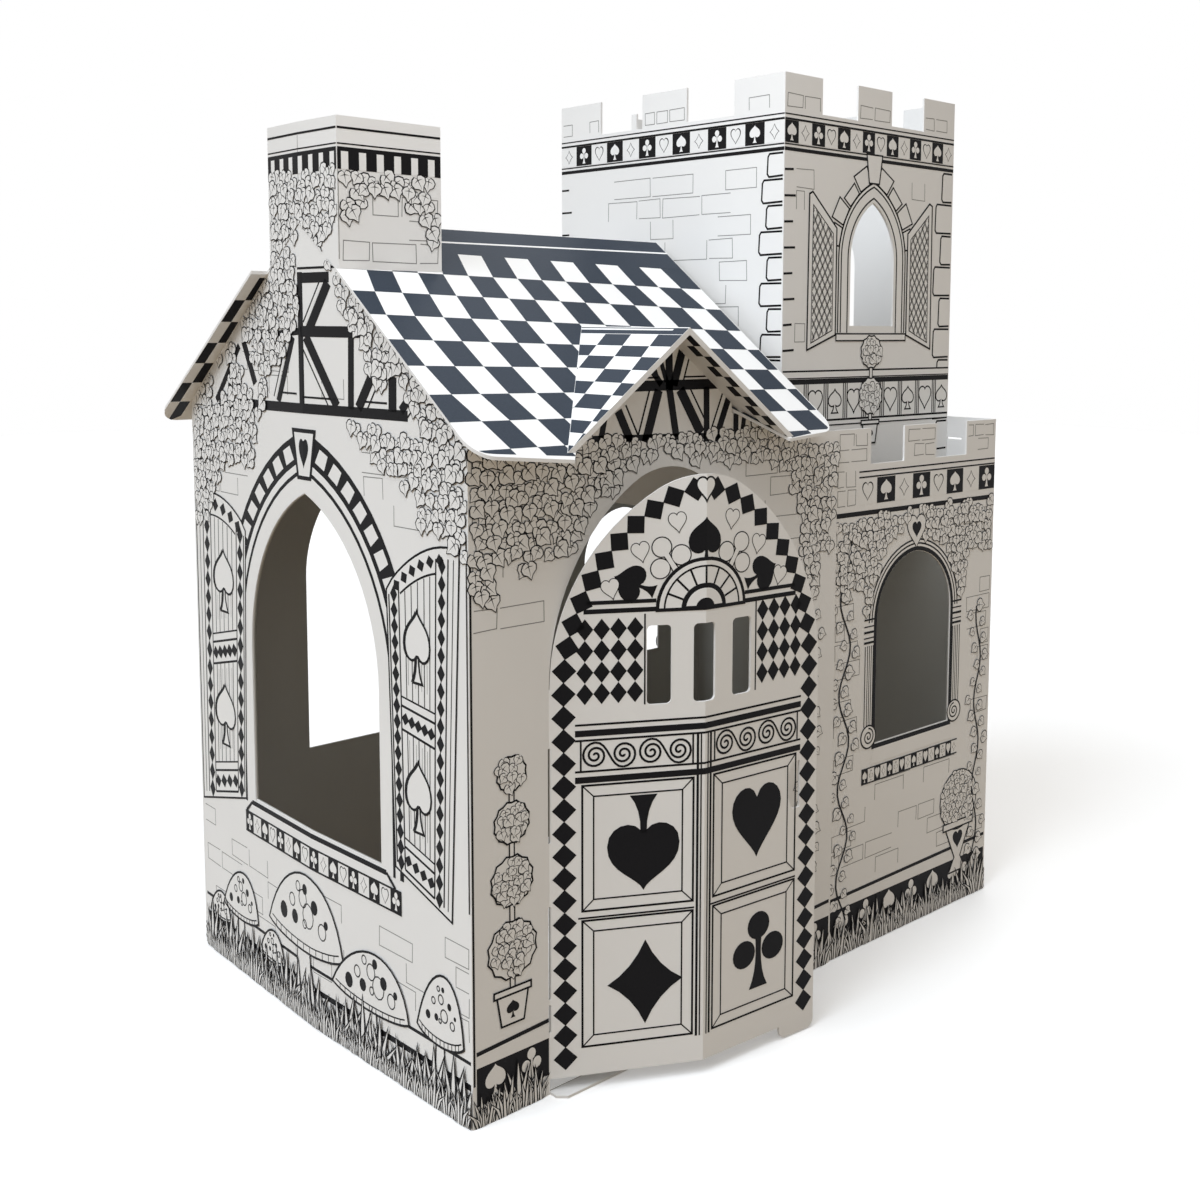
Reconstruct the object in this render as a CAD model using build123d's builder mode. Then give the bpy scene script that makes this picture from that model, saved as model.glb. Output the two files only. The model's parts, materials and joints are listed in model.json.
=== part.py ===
from build123d import *
from math import atan2, cos, radians, sin, sqrt, tan
import os

# Folded cardboard play castle: a gabled house with a chimney, a dormer over an
# arched folding door, and a crenellated tower that rises between two low bays.
# Millimetres, +Z up. X runs along the front, Y runs from the front to the back.
# Everything is laid out from the floor corner where the front wall folds into
# the gable wall, and the finished castle is moved onto the middle of its footprint.

# Card
card = 4.0
seat_gap = 0.3
cut_gap = 1.0

# House body
house_depth = 800.0
house_width = 714.0
joint_lap = 16.0
gable_bulge = 12.0
corner_flap = 34.0
corner_flap_foot = 40.0
corner_flap_top = 860.0

# Main roof, measured on its upper face
roof_pitch = 34.5
ridge_height = 1225.0
eave_overhang = 52.0
eave_droop = 19.0
left_overhang_top = 10.0
left_overhang_foot = 26.0
left_overhang_back = 36.0
right_gap_top = 24.0
right_gap_foot = 50.0
eave_corner = 34.0
eave_dip_half = 213.0
hem_corner = 16.0
hem_start = 8.0

# Dormer
dormer_centre = 336.0
dormer_below_ridge = 151.0
dormer_pitch = 36.7
dormer_overhang = 59.0
dormer_hem = 30.0
dormer_bearing = 8.0
dormer_neck = 145.0

# Chimney
chimney_near = 296.0
chimney_width = 200.0
chimney_depth = 163.0
chimney_above_ridge = 140.0
chimney_foot_below_ridge = 117.0
chimney_clear = 1.5

# Door and threshold
door_left = 130.0
door_width = 443.0
door_springing_below_eave = 365.0
door_rise = 305.0
door_crown = 130.0
door_clear = 22.0
door_swing = 29.5
door_back_fold = 4.6
threshold_reach = 26.0
threshold_corner = 12.0
hinge_slot_width = 4.0
hinge_slots = ((0.155, 0.226), (0.238, 0.471), (0.626, 0.859))  # parts of the springing height
spy_slot_width = 35.0
spy_slot_height = 112.0
spy_slot_below_springing = 29.0
spy_slot_pitch = 67.0
spy_slot_corner = 7.0
finger_width = 23.0
finger_height = 72.0
finger_below_springing = 222.0
finger_inset = 36.0
finger_chamfer = 9.0
foot_tab_width = 70.0
foot_tab_drop = 19.0
foot_tab_corner = 12.0

# Windows: width, then the sill, springing line and rise of the pointed head; the
# house windows spring below the eave, and the tower windows hang below its top
gable_window_width, gable_window_sill, gable_window_rise = 378.0, 310.0, 265.0
back_window_width, back_window_sill, back_window_rise = 400.0, 305.0, 240.0
gable_springing_below_eave = 385.0
back_springing_below_eave = 325.0
bay_window = (213.0, 357.0, 572.0, 112.0)
tower_window_width, tower_window_rise = 122.0, 100.0
tower_sill_below_top = 416.0
tower_springing_below_top = 299.0
back_window_centre = 402.0
bay_window_centre = 953.0

# Tower and bays
tower_width = 476.0
tower_depth = 588.0
bay_depth = 112.0
tower_top = 1494.0
tower_crenel = 60.0
tower_skirt = 790.0
merlons = 3
bay_top = 907.0
bay_crenel = 61.0
bay_tongue = 40.0
wing_foot = 738.0
wing_top = 786.0
wing_flap = 36.0
slit_foot = 864.0
slit_height = 3.0
slit_length = 34.0
catch_width = 14.0
catch_height = 28.0
catch_from_back = 212.0

# Places worked out from the sizes above
ridge_y = house_depth / 2
pitch = radians(roof_pitch)
slope = tan(pitch)
roof_drop = card / cos(pitch) + seat_gap
dormer_angle = radians(dormer_pitch)
dormer_slope = tan(dormer_angle)
dormer_drop = card / cos(dormer_angle) + seat_gap
gable_peak = ridge_height - roof_drop
wall_top = gable_peak - ridge_y * slope
dormer_ridge = ridge_height - dormer_below_ridge
chimney_top = ridge_height + chimney_above_ridge
chimney_foot = ridge_height - chimney_foot_below_ridge
door_springing = wall_top - door_springing_below_eave
spy_slot_foot = door_springing - spy_slot_below_springing
finger_foot = door_springing - finger_below_springing
gable_window = (gable_window_width, gable_window_sill, wall_top - gable_springing_below_eave, gable_window_rise)
back_window = (back_window_width, back_window_sill, wall_top - back_springing_below_eave, back_window_rise)
tower_window = (tower_window_width, tower_top - tower_sill_below_top,
                tower_top - tower_springing_below_top, tower_window_rise)
chimney_far = chimney_near + chimney_width
tower_left = house_width
tower_right = house_width + tower_width
sleeve_right = tower_right - card - seat_gap
tower_front = bay_depth
tower_back = bay_depth + tower_depth
tower_mid_x = (tower_left + sleeve_right) / 2
tower_mid_y = (tower_front + tower_back) / 2
bay_front = card + seat_gap
bay_back = house_depth - card - seat_gap
bay_left = house_width + joint_lap
reach = 2 * tower_top


def pointed_arch(centre, width, sill, springing, rise, crown=0.0, mode=Mode.ADD):
    """Draw a pointed opening: straight jambs, two arcs and, if asked, a rounded crown."""
    half = width / 2
    radius = (half**2 + rise**2) / (2 * half)
    inset = radius - half
    crown_centre = sqrt((radius - crown) ** 2 - inset**2)
    sweep = atan2(crown_centre, inset)

    def on_arc(angle, side):
        return (centre + side * (radius * cos(angle) - inset), springing + radius * sin(angle))

    with BuildLine() as outline:
        Polyline(on_arc(0, -1), (centre - half, sill), (centre + half, sill), on_arc(0, 1))
        ThreePointArc(on_arc(0, 1), on_arc(sweep / 2, 1), on_arc(sweep, 1))
        if crown:
            ThreePointArc(on_arc(sweep, 1), (centre, springing + crown_centre + crown), on_arc(sweep, -1))
        ThreePointArc(on_arc(sweep, -1), on_arc(sweep / 2, -1), on_arc(0, -1))
    make_face(outline.edges(), mode=mode)


def battlement(left, right, foot, top, crenel):
    """Draw a wall panel whose top edge steps between equal merlons and gaps."""
    step = (right - left) / (2 * merlons - 1)
    with Locations(((left + right) / 2, foot)):
        Rectangle(right - left, top - crenel - foot, align=(Align.CENTER, Align.MIN))
    with Locations(*[(left + (2 * i + 0.5) * step, top - crenel) for i in range(merlons)]):
        Rectangle(step, crenel, align=(Align.CENTER, Align.MIN))


def leaf_plane(x, y, turn):
    """Plane of a door panel: origin at its fold on the floor, x along it, y upwards."""
    angle = radians(turn)
    return Plane(origin=(x, y, 0), x_dir=(cos(angle), -sin(angle), 0), z_dir=(-sin(angle), -cos(angle), 0))


def door_half(left, right, centre):
    """Draw the part of the door leaf between two upright lines, with its slots."""
    pointed_arch(centre, door_width - 2 * cut_gap, door_clear, door_springing, door_rise, door_crown)
    with Locations(((left + right) / 2, tower_top / 2)):
        Rectangle(right - left, tower_top, mode=Mode.INTERSECT)
    with Locations(*[(centre + i * spy_slot_pitch, spy_slot_foot + spy_slot_height / 2) for i in (-1, 0, 1)]):
        RectangleRounded(spy_slot_width, spy_slot_height, spy_slot_corner, mode=Mode.SUBTRACT)


# Front wall, door, threshold, gable wall and chimney: one folded sheet
with BuildPart() as front_gable_walls:
    with BuildSketch(Plane.XY):
        far = house_depth - card - seat_gap
        with BuildLine():
            Polyline(
                (0, 0), (-gable_bulge, ridge_y), (0, far), (card, far),
                (card - gable_bulge, ridge_y), (card, 0), close=True,
            )
        make_face()
    extrude(amount=chimney_top)
    with BuildSketch(Plane.YZ.offset(-reach / 2)):
        with BuildLine():
            Polyline(
                (0, 0), (house_depth, 0), (house_depth, wall_top),
                (chimney_far, gable_peak - (chimney_far - ridge_y) * slope), (chimney_far, chimney_top),
                (chimney_near, chimney_top), (chimney_near, gable_peak - (ridge_y - chimney_near) * slope),
                (0, wall_top), close=True,
            )
        make_face()
    extrude(amount=reach, mode=Mode.INTERSECT)
    with BuildSketch(Plane.YZ.offset(-reach / 2)):
        pointed_arch(ridge_y, *gable_window)
    extrude(amount=reach, mode=Mode.SUBTRACT)

    # Chimney sides and the panel that faces the tower
    with BuildSketch(Plane.XY.offset(chimney_foot)):
        side_start = card - gable_bulge * chimney_near / ridge_y - card / 2
        with Locations((side_start, chimney_near), (side_start, chimney_far - card)):
            Rectangle(chimney_depth - side_start, card, align=(Align.MIN, Align.MIN))
        with Locations((chimney_depth - card, chimney_near)):
            Rectangle(card, chimney_width, align=(Align.MIN, Align.MIN))
    extrude(amount=chimney_top - chimney_foot)

    # Front wall with the dormer gable, and the doorway with its threshold strip
    with BuildSketch(Plane.XZ.offset(-card)):
        shoulder = dormer_ridge - dormer_drop - dormer_neck * dormer_slope
        with BuildLine():
            Polyline(
                (0, 0), (bay_left, 0), (bay_left, bay_top), (house_width - right_gap_foot, bay_top),
                (house_width - right_gap_foot, wall_top),
                (dormer_centre + dormer_neck, wall_top), (dormer_centre + dormer_neck, shoulder),
                (dormer_centre, dormer_ridge - dormer_drop),
                (dormer_centre - dormer_neck, shoulder), (dormer_centre - dormer_neck, wall_top),
                (0, wall_top), close=True,
            )
        make_face()
    extrude(amount=card)
    with BuildSketch(Plane.XZ.offset(-2 * card)):
        pointed_arch(door_left + door_width / 2, door_width, card, door_springing, door_rise, door_crown)
    extrude(amount=3 * card, mode=Mode.SUBTRACT)
    with BuildSketch(Plane.XY):
        flap_mid = door_left + door_width / 2
        with Locations((flap_mid, card / 2 - threshold_reach / 2)):
            flap = Rectangle(door_width, threshold_reach + card)
        chamfer(flap.vertices().group_by(Axis.Y)[0], length=threshold_corner)
    extrude(amount=card)

    # Door leaf, swung out and bent back at its middle crease
    half = door_width / 2
    swing_cos, swing_sin = cos(radians(door_swing)), sin(radians(door_swing))
    fold_x, fold_y = door_left + half * swing_cos, -half * swing_sin
    with BuildSketch(leaf_plane(door_left, 0, door_swing)):
        door_half(0, half, half)
    extrude(amount=-card)
    with BuildSketch(leaf_plane(fold_x, fold_y, door_back_fold)):
        door_half(0, half, 0)
        grip_right, grip_top = half - finger_inset, finger_foot + finger_height
        with BuildLine():
            Polyline(
                (grip_right, finger_foot), (grip_right, grip_top),
                (grip_right - finger_width + finger_chamfer, grip_top),
                (grip_right - finger_width, grip_top - 2 * finger_chamfer),
                (grip_right - finger_width, finger_foot + 2 * finger_chamfer),
                (grip_right - finger_width + finger_chamfer, finger_foot), close=True,
            )
        make_face(mode=Mode.SUBTRACT)
        with Locations((half - cut_gap - foot_tab_width / 2, door_clear)):
            RectangleRounded(foot_tab_width, 2 * foot_tab_drop, foot_tab_corner)
    extrude(amount=-card)

    # Hinge crease: the card between the wall and the leaf, left whole between the slots
    with BuildSketch(Plane.XY.offset(door_clear)):
        lap = 2 * cut_gap
        with BuildLine():
            Polyline(
                (door_left - lap, 0), (door_left, 0),
                (door_left + lap * swing_cos, -lap * swing_sin),
                (door_left + lap * swing_cos + card * swing_sin, card * swing_cos - lap * swing_sin),
                (door_left + card * swing_sin, card * swing_cos),
                (door_left, card), (door_left - lap, card), close=True,
            )
        make_face()
    extrude(amount=door_springing - door_clear)
    with BuildSketch(Plane.XZ.offset(-2 * card)):
        for foot, head in hinge_slots:
            with Locations((door_left, door_springing * (foot + head) / 2)):
                RectangleRounded(hinge_slot_width, door_springing * (head - foot), hinge_slot_width / 2 - 0.1)
    extrude(amount=4 * card, mode=Mode.SUBTRACT)

# Back wall of the house, with a flap folded along the inside of the gable wall
with BuildPart() as back_house_wall:
    with BuildSketch(Plane.XZ.offset(-house_depth)):
        with BuildLine():
            Polyline(
                (0, 0), (bay_left, 0), (bay_left, bay_top), (house_width - right_gap_foot, bay_top),
                (house_width - right_gap_foot, wall_top), (0, wall_top), close=True,
            )
        make_face()
        pointed_arch(back_window_centre, *back_window, mode=Mode.SUBTRACT)
    extrude(amount=card)
    with BuildSketch(Plane.XY.offset(corner_flap_foot)):
        with Locations((card + seat_gap, house_depth)):
            Rectangle(card, corner_flap + card, align=(Align.MIN, Align.MAX))
    extrude(amount=corner_flap_top - corner_flap_foot)

# Bays: front, right and back walls in one folded sheet, glued behind the house walls
with BuildPart() as bay_walls:
    slit_y = tower_front - slit_length / 2
    for outer_face, way in ((bay_front, 1), (bay_back, -1)):
        near = min(outer_face, outer_face + way * card)
        with BuildSketch(Plane.XZ.offset(-near - card)):
            battlement(bay_left, tower_right, 0, bay_top, bay_crenel)
            with Locations((bay_left, 0)):
                Rectangle(bay_tongue, bay_top - bay_crenel, align=(Align.MAX, Align.MIN))
            pointed_arch(bay_window_centre, *bay_window, mode=Mode.SUBTRACT)
        extrude(amount=card)
    with BuildSketch(Plane.YZ.offset(tower_right - card)):
        with BuildLine():
            Polyline((bay_front, 0), (bay_back, 0), (bay_back, bay_top), (bay_front, bay_top), close=True)
        make_face()
        with Locations((slit_y, slit_foot + slit_height / 2)):
            Rectangle(slit_length, slit_height, mode=Mode.SUBTRACT)
    extrude(amount=card)

# Tower: four crenellated walls in one sleeve, with wings that stand on the bay walls
with BuildPart() as tower_walls:
    for y in (tower_front, tower_back - card):
        with BuildSketch(Plane.XZ.offset(-y - card)):
            battlement(tower_left, sleeve_right, tower_skirt, tower_top, tower_crenel)
            if y == tower_front:
                pointed_arch(tower_mid_x, *tower_window, mode=Mode.SUBTRACT)
        extrude(amount=card)
    for x in (tower_left, sleeve_right - card):
        with BuildSketch(Plane.YZ.offset(x)):
            battlement(tower_front, tower_back, tower_skirt, tower_top, tower_crenel)
            if x == tower_left:
                with Locations(((tower_front + tower_back) / 2, wing_foot)):
                    Rectangle(tower_depth, tower_skirt - wing_foot, align=(Align.CENTER, Align.MIN))
                wing_front, wing_back = bay_front + card + seat_gap, bay_back - card - seat_gap
                with Locations(((wing_front + wing_back) / 2, wing_foot)):
                    Rectangle(wing_back - wing_front, wing_top - wing_foot, align=(Align.CENTER, Align.MIN))
                with Locations((tower_back - catch_from_back, tower_top - tower_crenel)):
                    Rectangle(catch_width, catch_height, align=(Align.CENTER, Align.MIN))
            else:
                pointed_arch(tower_mid_y, *tower_window, mode=Mode.SUBTRACT)
        extrude(amount=card)
    with BuildSketch(Plane.XY.offset(wing_foot)):
        with Locations((tower_left, wing_front), (tower_left, wing_back - card)):
            Rectangle(wing_flap, card, align=(Align.MIN, Align.MIN))
    extrude(amount=wing_top - wing_foot)

# Main roof: two slopes folded at the ridge, opened for the chimney and the dormer
with BuildPart() as main_roof:
    run = ridge_y + eave_overhang + eave_droop + eave_corner
    drop = card / cos(pitch)
    with BuildSketch(Plane.YZ.offset(-reach / 2)):
        with BuildLine():
            Polyline(
                (ridge_y - run, ridge_height - run * slope), (ridge_y, ridge_height),
                (ridge_y + run, ridge_height - run * slope),
                (ridge_y + run, ridge_height - run * slope - drop), (ridge_y, ridge_height - drop),
                (ridge_y - run, ridge_height - run * slope - drop), close=True,
            )
        make_face()
    extrude(amount=reach)
    with BuildSketch(Plane.XY):
        eave_front, eave_back = -eave_overhang, house_depth + eave_overhang
        hem_top = chimney_far + hem_start  # behind the chimney the slope keeps its side flap, spread flat
        verge_right_top, verge_right_foot = house_width - right_gap_top, house_width - right_gap_foot
        with BuildLine():
            Polyline(
                (-left_overhang_foot, eave_front), (-left_overhang_top, ridge_y),
                (-left_overhang_top, hem_top), (-left_overhang_back, hem_top),
                (-left_overhang_back, eave_back), (verge_right_foot, eave_back),
                (verge_right_top, ridge_y), (verge_right_foot, eave_front),
                (dormer_centre + eave_dip_half, eave_front - eave_droop / 2),
                (dormer_centre - eave_dip_half, eave_front - eave_droop), close=True,
            )
        plan = make_face()
        eave_corners = plan.vertices().filter_by(
            lambda v: abs(v.Y - ridge_y) > ridge_y and abs(v.X - dormer_centre) > house_width / 3)
        hem_corners = plan.vertices().filter_by(
            lambda v: abs(v.X + left_overhang_back) < cut_gap and abs(v.Y - hem_top) < cut_gap)
        fillet(eave_corners, radius=eave_corner)
        fillet(hem_corners, radius=hem_corner)
        with Locations((chimney_depth + chimney_clear, (chimney_near + chimney_far) / 2)):
            Rectangle(2 * chimney_depth, chimney_width + 2 * chimney_clear,
                      align=(Align.MAX, Align.CENTER), mode=Mode.SUBTRACT)
        # The dormer stands on the edges of this V
        v_front = -2 * eave_overhang
        v_half = (dormer_ridge - drop - (ridge_height - (ridge_y - v_front) * slope)) / dormer_slope - dormer_bearing
        v_back = v_front + v_half * dormer_slope / slope
        with BuildLine():
            Polyline((dormer_centre - v_half, v_front), (dormer_centre, v_back),
                     (dormer_centre + v_half, v_front), close=True)
        make_face(mode=Mode.SUBTRACT)
    extrude(amount=tower_top, mode=Mode.INTERSECT)

# Dormer roof: two slopes folded at its ridge, the front edge doubled by a hem
with BuildPart() as dormer_roof:
    span = dormer_centre
    drop = card / cos(dormer_angle)
    for layers, depth in ((1, ridge_y), (2, dormer_hem)):
        with BuildSketch(Plane.XZ.offset(dormer_overhang)):
            with BuildLine():
                Polyline(
                    (dormer_centre - span, dormer_ridge - span * dormer_slope), (dormer_centre, dormer_ridge),
                    (dormer_centre + span, dormer_ridge - span * dormer_slope),
                    (dormer_centre + span, dormer_ridge - span * dormer_slope - layers * drop),
                    (dormer_centre, dormer_ridge - layers * drop),
                    (dormer_centre - span, dormer_ridge - span * dormer_slope - layers * drop), close=True,
                )
            make_face()
        extrude(amount=-depth)
    with BuildSketch(Plane.YZ.offset(-reach / 2)):
        lift = ridge_height + seat_gap
        with BuildLine():
            Polyline((-ridge_y, lift - 2 * ridge_y * slope), (ridge_y, lift), (-ridge_y, lift), close=True)
        make_face()
    extrude(amount=reach, mode=Mode.INTERSECT)

# Move the castle onto the middle of its footprint
sheets = (front_gable_walls, back_house_wall, bay_walls, tower_walls, main_roof, dormer_roof)
boxes = [sheet.part.bounding_box() for sheet in sheets]
centre_x = (min(box.min.X for box in boxes) + max(box.max.X for box in boxes)) / 2
centre_y = (min(box.min.Y for box in boxes) + max(box.max.Y for box in boxes)) / 2
for sheet in sheets:
    sheet.part.move(Location((-centre_x, -centre_y, 0)))

os.makedirs("parts", exist_ok=True)
front_gable_walls.part.label = "front_gable_walls"
export_step(front_gable_walls.part, "parts/front_gable_walls.step")
back_house_wall.part.label = "back_house_wall"
export_step(back_house_wall.part, "parts/back_house_wall.step")
bay_walls.part.label = "bay_walls"
export_step(bay_walls.part, "parts/bay_walls.step")
tower_walls.part.label = "tower_walls"
export_step(tower_walls.part, "parts/tower_walls.step")
main_roof.part.label = "main_roof"
export_step(main_roof.part, "parts/main_roof.step")
dormer_roof.part.label = "dormer_roof"
export_step(dormer_roof.part, "parts/dormer_roof.step")
print(f"castle corner at {-centre_x:.3f}, {-centre_y:.3f}")
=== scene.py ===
"""Looks of the folded card play castle: its printed board, a floor, soft light and the camera.

Every drawing is laid out flat, in millimetres on the sheet that carries it, and is then
folded round the sheet's creases, a hair above the card.
"""

import json
import logging
import random
from dataclasses import dataclass, field
from enum import Enum, IntEnum
from math import acos, atan2, cos, degrees, hypot, pi, radians, sin, tan
from typing import Callable, Iterable, Sequence

import bmesh
import bpy
from mathutils import Matrix, Vector

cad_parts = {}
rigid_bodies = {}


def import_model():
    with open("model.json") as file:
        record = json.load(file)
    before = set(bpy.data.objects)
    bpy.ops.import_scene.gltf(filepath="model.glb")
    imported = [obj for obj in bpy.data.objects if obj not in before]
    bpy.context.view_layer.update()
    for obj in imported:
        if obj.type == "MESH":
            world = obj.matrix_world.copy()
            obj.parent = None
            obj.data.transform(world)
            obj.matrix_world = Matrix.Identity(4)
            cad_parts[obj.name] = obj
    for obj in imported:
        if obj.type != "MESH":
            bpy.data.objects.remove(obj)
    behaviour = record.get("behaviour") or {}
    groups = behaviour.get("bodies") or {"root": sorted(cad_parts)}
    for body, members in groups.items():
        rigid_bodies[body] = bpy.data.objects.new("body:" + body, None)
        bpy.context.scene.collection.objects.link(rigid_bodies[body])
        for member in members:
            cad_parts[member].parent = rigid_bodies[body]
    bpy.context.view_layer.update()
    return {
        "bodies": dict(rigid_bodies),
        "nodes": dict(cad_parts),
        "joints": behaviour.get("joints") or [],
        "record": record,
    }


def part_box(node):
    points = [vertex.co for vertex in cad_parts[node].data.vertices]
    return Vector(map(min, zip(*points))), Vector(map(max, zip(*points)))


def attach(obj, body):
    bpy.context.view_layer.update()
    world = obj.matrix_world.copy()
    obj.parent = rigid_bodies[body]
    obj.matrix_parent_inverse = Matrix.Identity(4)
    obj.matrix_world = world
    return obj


log = logging.getLogger("castle")

Point = tuple[float, float]
Loop = list[Point]
Colour = tuple[float, float, float]
Spot = tuple[float, float, float, float, float]
Keep = Callable[[float, float], bool]
Socket = bpy.types.NodeSocket
Material = bpy.types.Material

MM = 0.001
CARD = 4.0
FIRST_LIFT = 0.12
LIFT_STEP = 0.07
LEAF_LIFT = 0.14


class Tone(IntEnum):
    """What a printed shape is made of; the value is its material index."""

    INK = 0
    PAPER = 1
    # Black roof ink with a painted sheen: its blue-grey stands for glare on the glossy ink.
    SLATE = 2
    GREY = 3


class Suit(Enum):
    """The four pips of a pack of cards."""

    HEART = "heart"
    SPADE = "spade"
    DIAMOND = "diamond"
    CLUB = "club"


# Shader nodes


class Wire:
    """A shader socket with the arithmetic of Math nodes."""

    def __init__(self, bench: "Bench", socket: Socket) -> None:
        """Wrap one output socket of a bench."""
        self.bench = bench
        self.socket = socket

    def _maths(self, operation: str, *values: "Wire | float") -> "Wire":
        """The result of one Math node, from its operation and its inputs in order."""
        return self.bench.node("ShaderNodeMath", {"operation": operation}, dict(enumerate(values)))

    def __add__(self, other: "Wire | float") -> "Wire":
        """Sum."""
        return self._maths("ADD", self, other)

    __radd__ = __add__

    def __mul__(self, other: "Wire | float") -> "Wire":
        """Product."""
        return self._maths("MULTIPLY", self, other)

    __rmul__ = __mul__

    def __sub__(self, other: "Wire | float") -> "Wire":
        """Difference."""
        return self._maths("SUBTRACT", self, other)

    def __rsub__(self, other: float) -> "Wire":
        """A number less this."""
        return self._maths("SUBTRACT", other, self)

    def __gt__(self, other: "Wire | float") -> "Wire":
        """1 where this is greater, else 0."""
        return self._maths("GREATER_THAN", self, other)

    def __or__(self, other: "Wire | float") -> "Wire":
        """The greater of the two, so 1 where either is 1."""
        return self._maths("MAXIMUM", self, other)

    def __abs__(self) -> "Wire":
        """Size without sign."""
        return self._maths("ABSOLUTE", self)


class Bench:
    """A shader node tree, built one node at a time."""

    def __init__(self, tree: bpy.types.NodeTree) -> None:
        """Start with the tree empty."""
        self.tree = tree
        self.tree.nodes.clear()

    def node(self, kind: str, settings: dict, inputs: dict, output: int | str = 0) -> Wire | None:
        """Add a node.

        Args:
            kind: The node's type.
            settings: Its properties, set first.
            inputs: Socket name or number to a value or a Wire.
            output: Which output to return.

        Returns:
            The chosen output, or None for a node that has none.
        """
        made = self.tree.nodes.new(kind)
        for key, value in settings.items():
            setattr(made, key, value)
        for key, value in inputs.items():
            if isinstance(value, Wire):
                self.tree.links.new(value.socket, made.inputs[key])
            else:
                made.inputs[key].default_value = value
        return Wire(self, made.outputs[output]) if made.outputs else None

    def place(self) -> Wire:
        """Object coordinates."""
        return self.node("ShaderNodeTexCoord", {}, {}, "Object")

    def axes(self, origin: Vector) -> list[Wire]:
        """Millimetres from the castle's floor corner along each axis."""
        ends = {0: self.place(), 1: tuple(origin)}
        shifted = self.node("ShaderNodeVectorMath", {"operation": "SUBTRACT"}, ends)
        split = self.node("ShaderNodeSeparateXYZ", {}, {0: shifted}).socket.node
        return [Wire(self, out) * 1000.0 for out in split.outputs]

    def noise(self, scale: float, detail: float = 3.0, stretch: Sequence[float] = (1, 1, 1)) -> Wire:
        """Noise from 0 to 1 over the object: its fineness per metre, its octaves, a factor on each axis."""
        mapped = self.node("ShaderNodeMapping", {}, {"Vector": self.place(), "Scale": tuple(stretch)})
        return self.node("ShaderNodeTexNoise", {}, {"Vector": mapped, "Scale": scale, "Detail": detail})

    def blend(self, factor: Wire, low: Wire | Sequence[float], high: Sequence[float]) -> Wire:
        """Mix two linear colours by a factor from 0, low, to 1, high."""
        start = low if isinstance(low, Wire) else (*low, 1)
        return self.node("ShaderNodeMix", {"data_type": "RGBA"}, {0: factor, 6: start, 7: (*high, 1)}, 2)

    def backdrop_rays(self) -> Wire:
        """1 for a ray that sees the backdrop itself: the camera's, and those off gloss or through glass."""
        kinds = ("Is Camera Ray", "Is Glossy Ray", "Is Transmission Ray")
        seen, gloss, glass = (self.node("ShaderNodeLightPath", {}, {}, kind) for kind in kinds)
        return seen | gloss | glass


class Paint(Bench):
    """A material with one shader."""

    def __init__(self, name: str) -> None:
        """Start the material with its shader and output."""
        self.material = bpy.data.materials.new(name)
        self.material.use_nodes = True
        super().__init__(self.material.node_tree)
        result = self.node("ShaderNodeBsdfPrincipled", {}, {})
        self.node("ShaderNodeOutputMaterial", {}, {0: result})
        self.shader = result.socket.node

    def feed(self, name: str, value: Wire | float | Sequence[float]) -> None:
        """Set or link one input of the shader."""
        if isinstance(value, Wire):
            self.tree.links.new(value.socket, self.shader.inputs[name])
        else:
            self.shader.inputs[name].default_value = value

    def bump(self, height: Wire, distance: float, strength: float) -> None:
        """Roughen the surface by a relief from 0 to 1, of a depth in metres."""
        made = self.node("ShaderNodeBump", {}, {"Height": height, "Distance": distance, "Strength": strength})
        self.feed("Normal", made)


@dataclass(frozen=True)
class PaintedRoomShade:
    """Painted shade inside a room, for its dimness: the grey it makes of the white board's colour and where
    it ends, in millimetres.
    """

    colour: Colour
    near: float
    far: float
    top: float
    right: float | None = None

    def mask(self, x: Wire, y: Wire, z: Wire) -> Wire:
        """1 where it shows; without a right end it starts at the bowed gable wall."""
        across = x > 0.03 * abs(y - HALF_DEPTH) - 10.0 if self.right is None else self.right - x > 0.0
        return across * (y > self.near) * (self.far - y > 0.0) * (self.top - z > 0.0)


@dataclass(frozen=True)
class BoardFinish:
    """White-lined corrugated board: faint mottle, faint flutes, a dry matt face."""

    name: str
    light: Colour
    dark: Colour
    roughness: float = 0.62

    def make(self, origin: Vector | None = None, painted_shade: PaintedRoomShade | None = None) -> Material:
        """Build the material.

        Args:
            origin: The castle's floor corner, for a sheet with painted shade inside.
            painted_shade: The painted shade inside the sheet's room, if it has one.

        Returns:
            The material.
        """
        paint = Paint(self.name)
        cloud = paint.noise(9.0, 4.0)
        fibre = paint.noise(900.0, 2.0)
        colour = paint.blend(cloud * 0.7 + fibre * 0.3, self.dark, self.light)
        # Painted shade: inside the rooms the white board's colour turns grey where the room lies dim.
        if painted_shade:
            colour = paint.blend(painted_shade.mask(*paint.axes(origin)), colour, painted_shade.colour)
        paint.feed("Base Color", colour)
        paint.feed("Roughness", self.roughness + fibre * 0.12 - 0.06)
        paint.feed("Specular IOR Level", 0.3)
        paint.bump(fibre * 0.5 + paint.noise(160.0, 1.0, (1, 1, 0.08)) * 0.5, 0.00025, 0.35)
        return paint.material


@dataclass(frozen=True)
class InkFinish:
    """Printing ink on board: nearly flat colour, a little smoother than the board."""

    name: str
    solid: Colour
    thin: Colour
    roughness: float = 0.48

    def make(self) -> Material:
        """Build the material."""
        paint = Paint(self.name)
        cover = paint.noise(420.0, 3.0)
        paint.feed("Base Color", paint.blend(cover, self.solid, self.thin))
        paint.feed("Roughness", self.roughness + cover * 0.1 - 0.05)
        paint.feed("Specular IOR Level", 0.07)
        paint.bump(cover, 0.0001, 0.2)
        return paint.material


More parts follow.
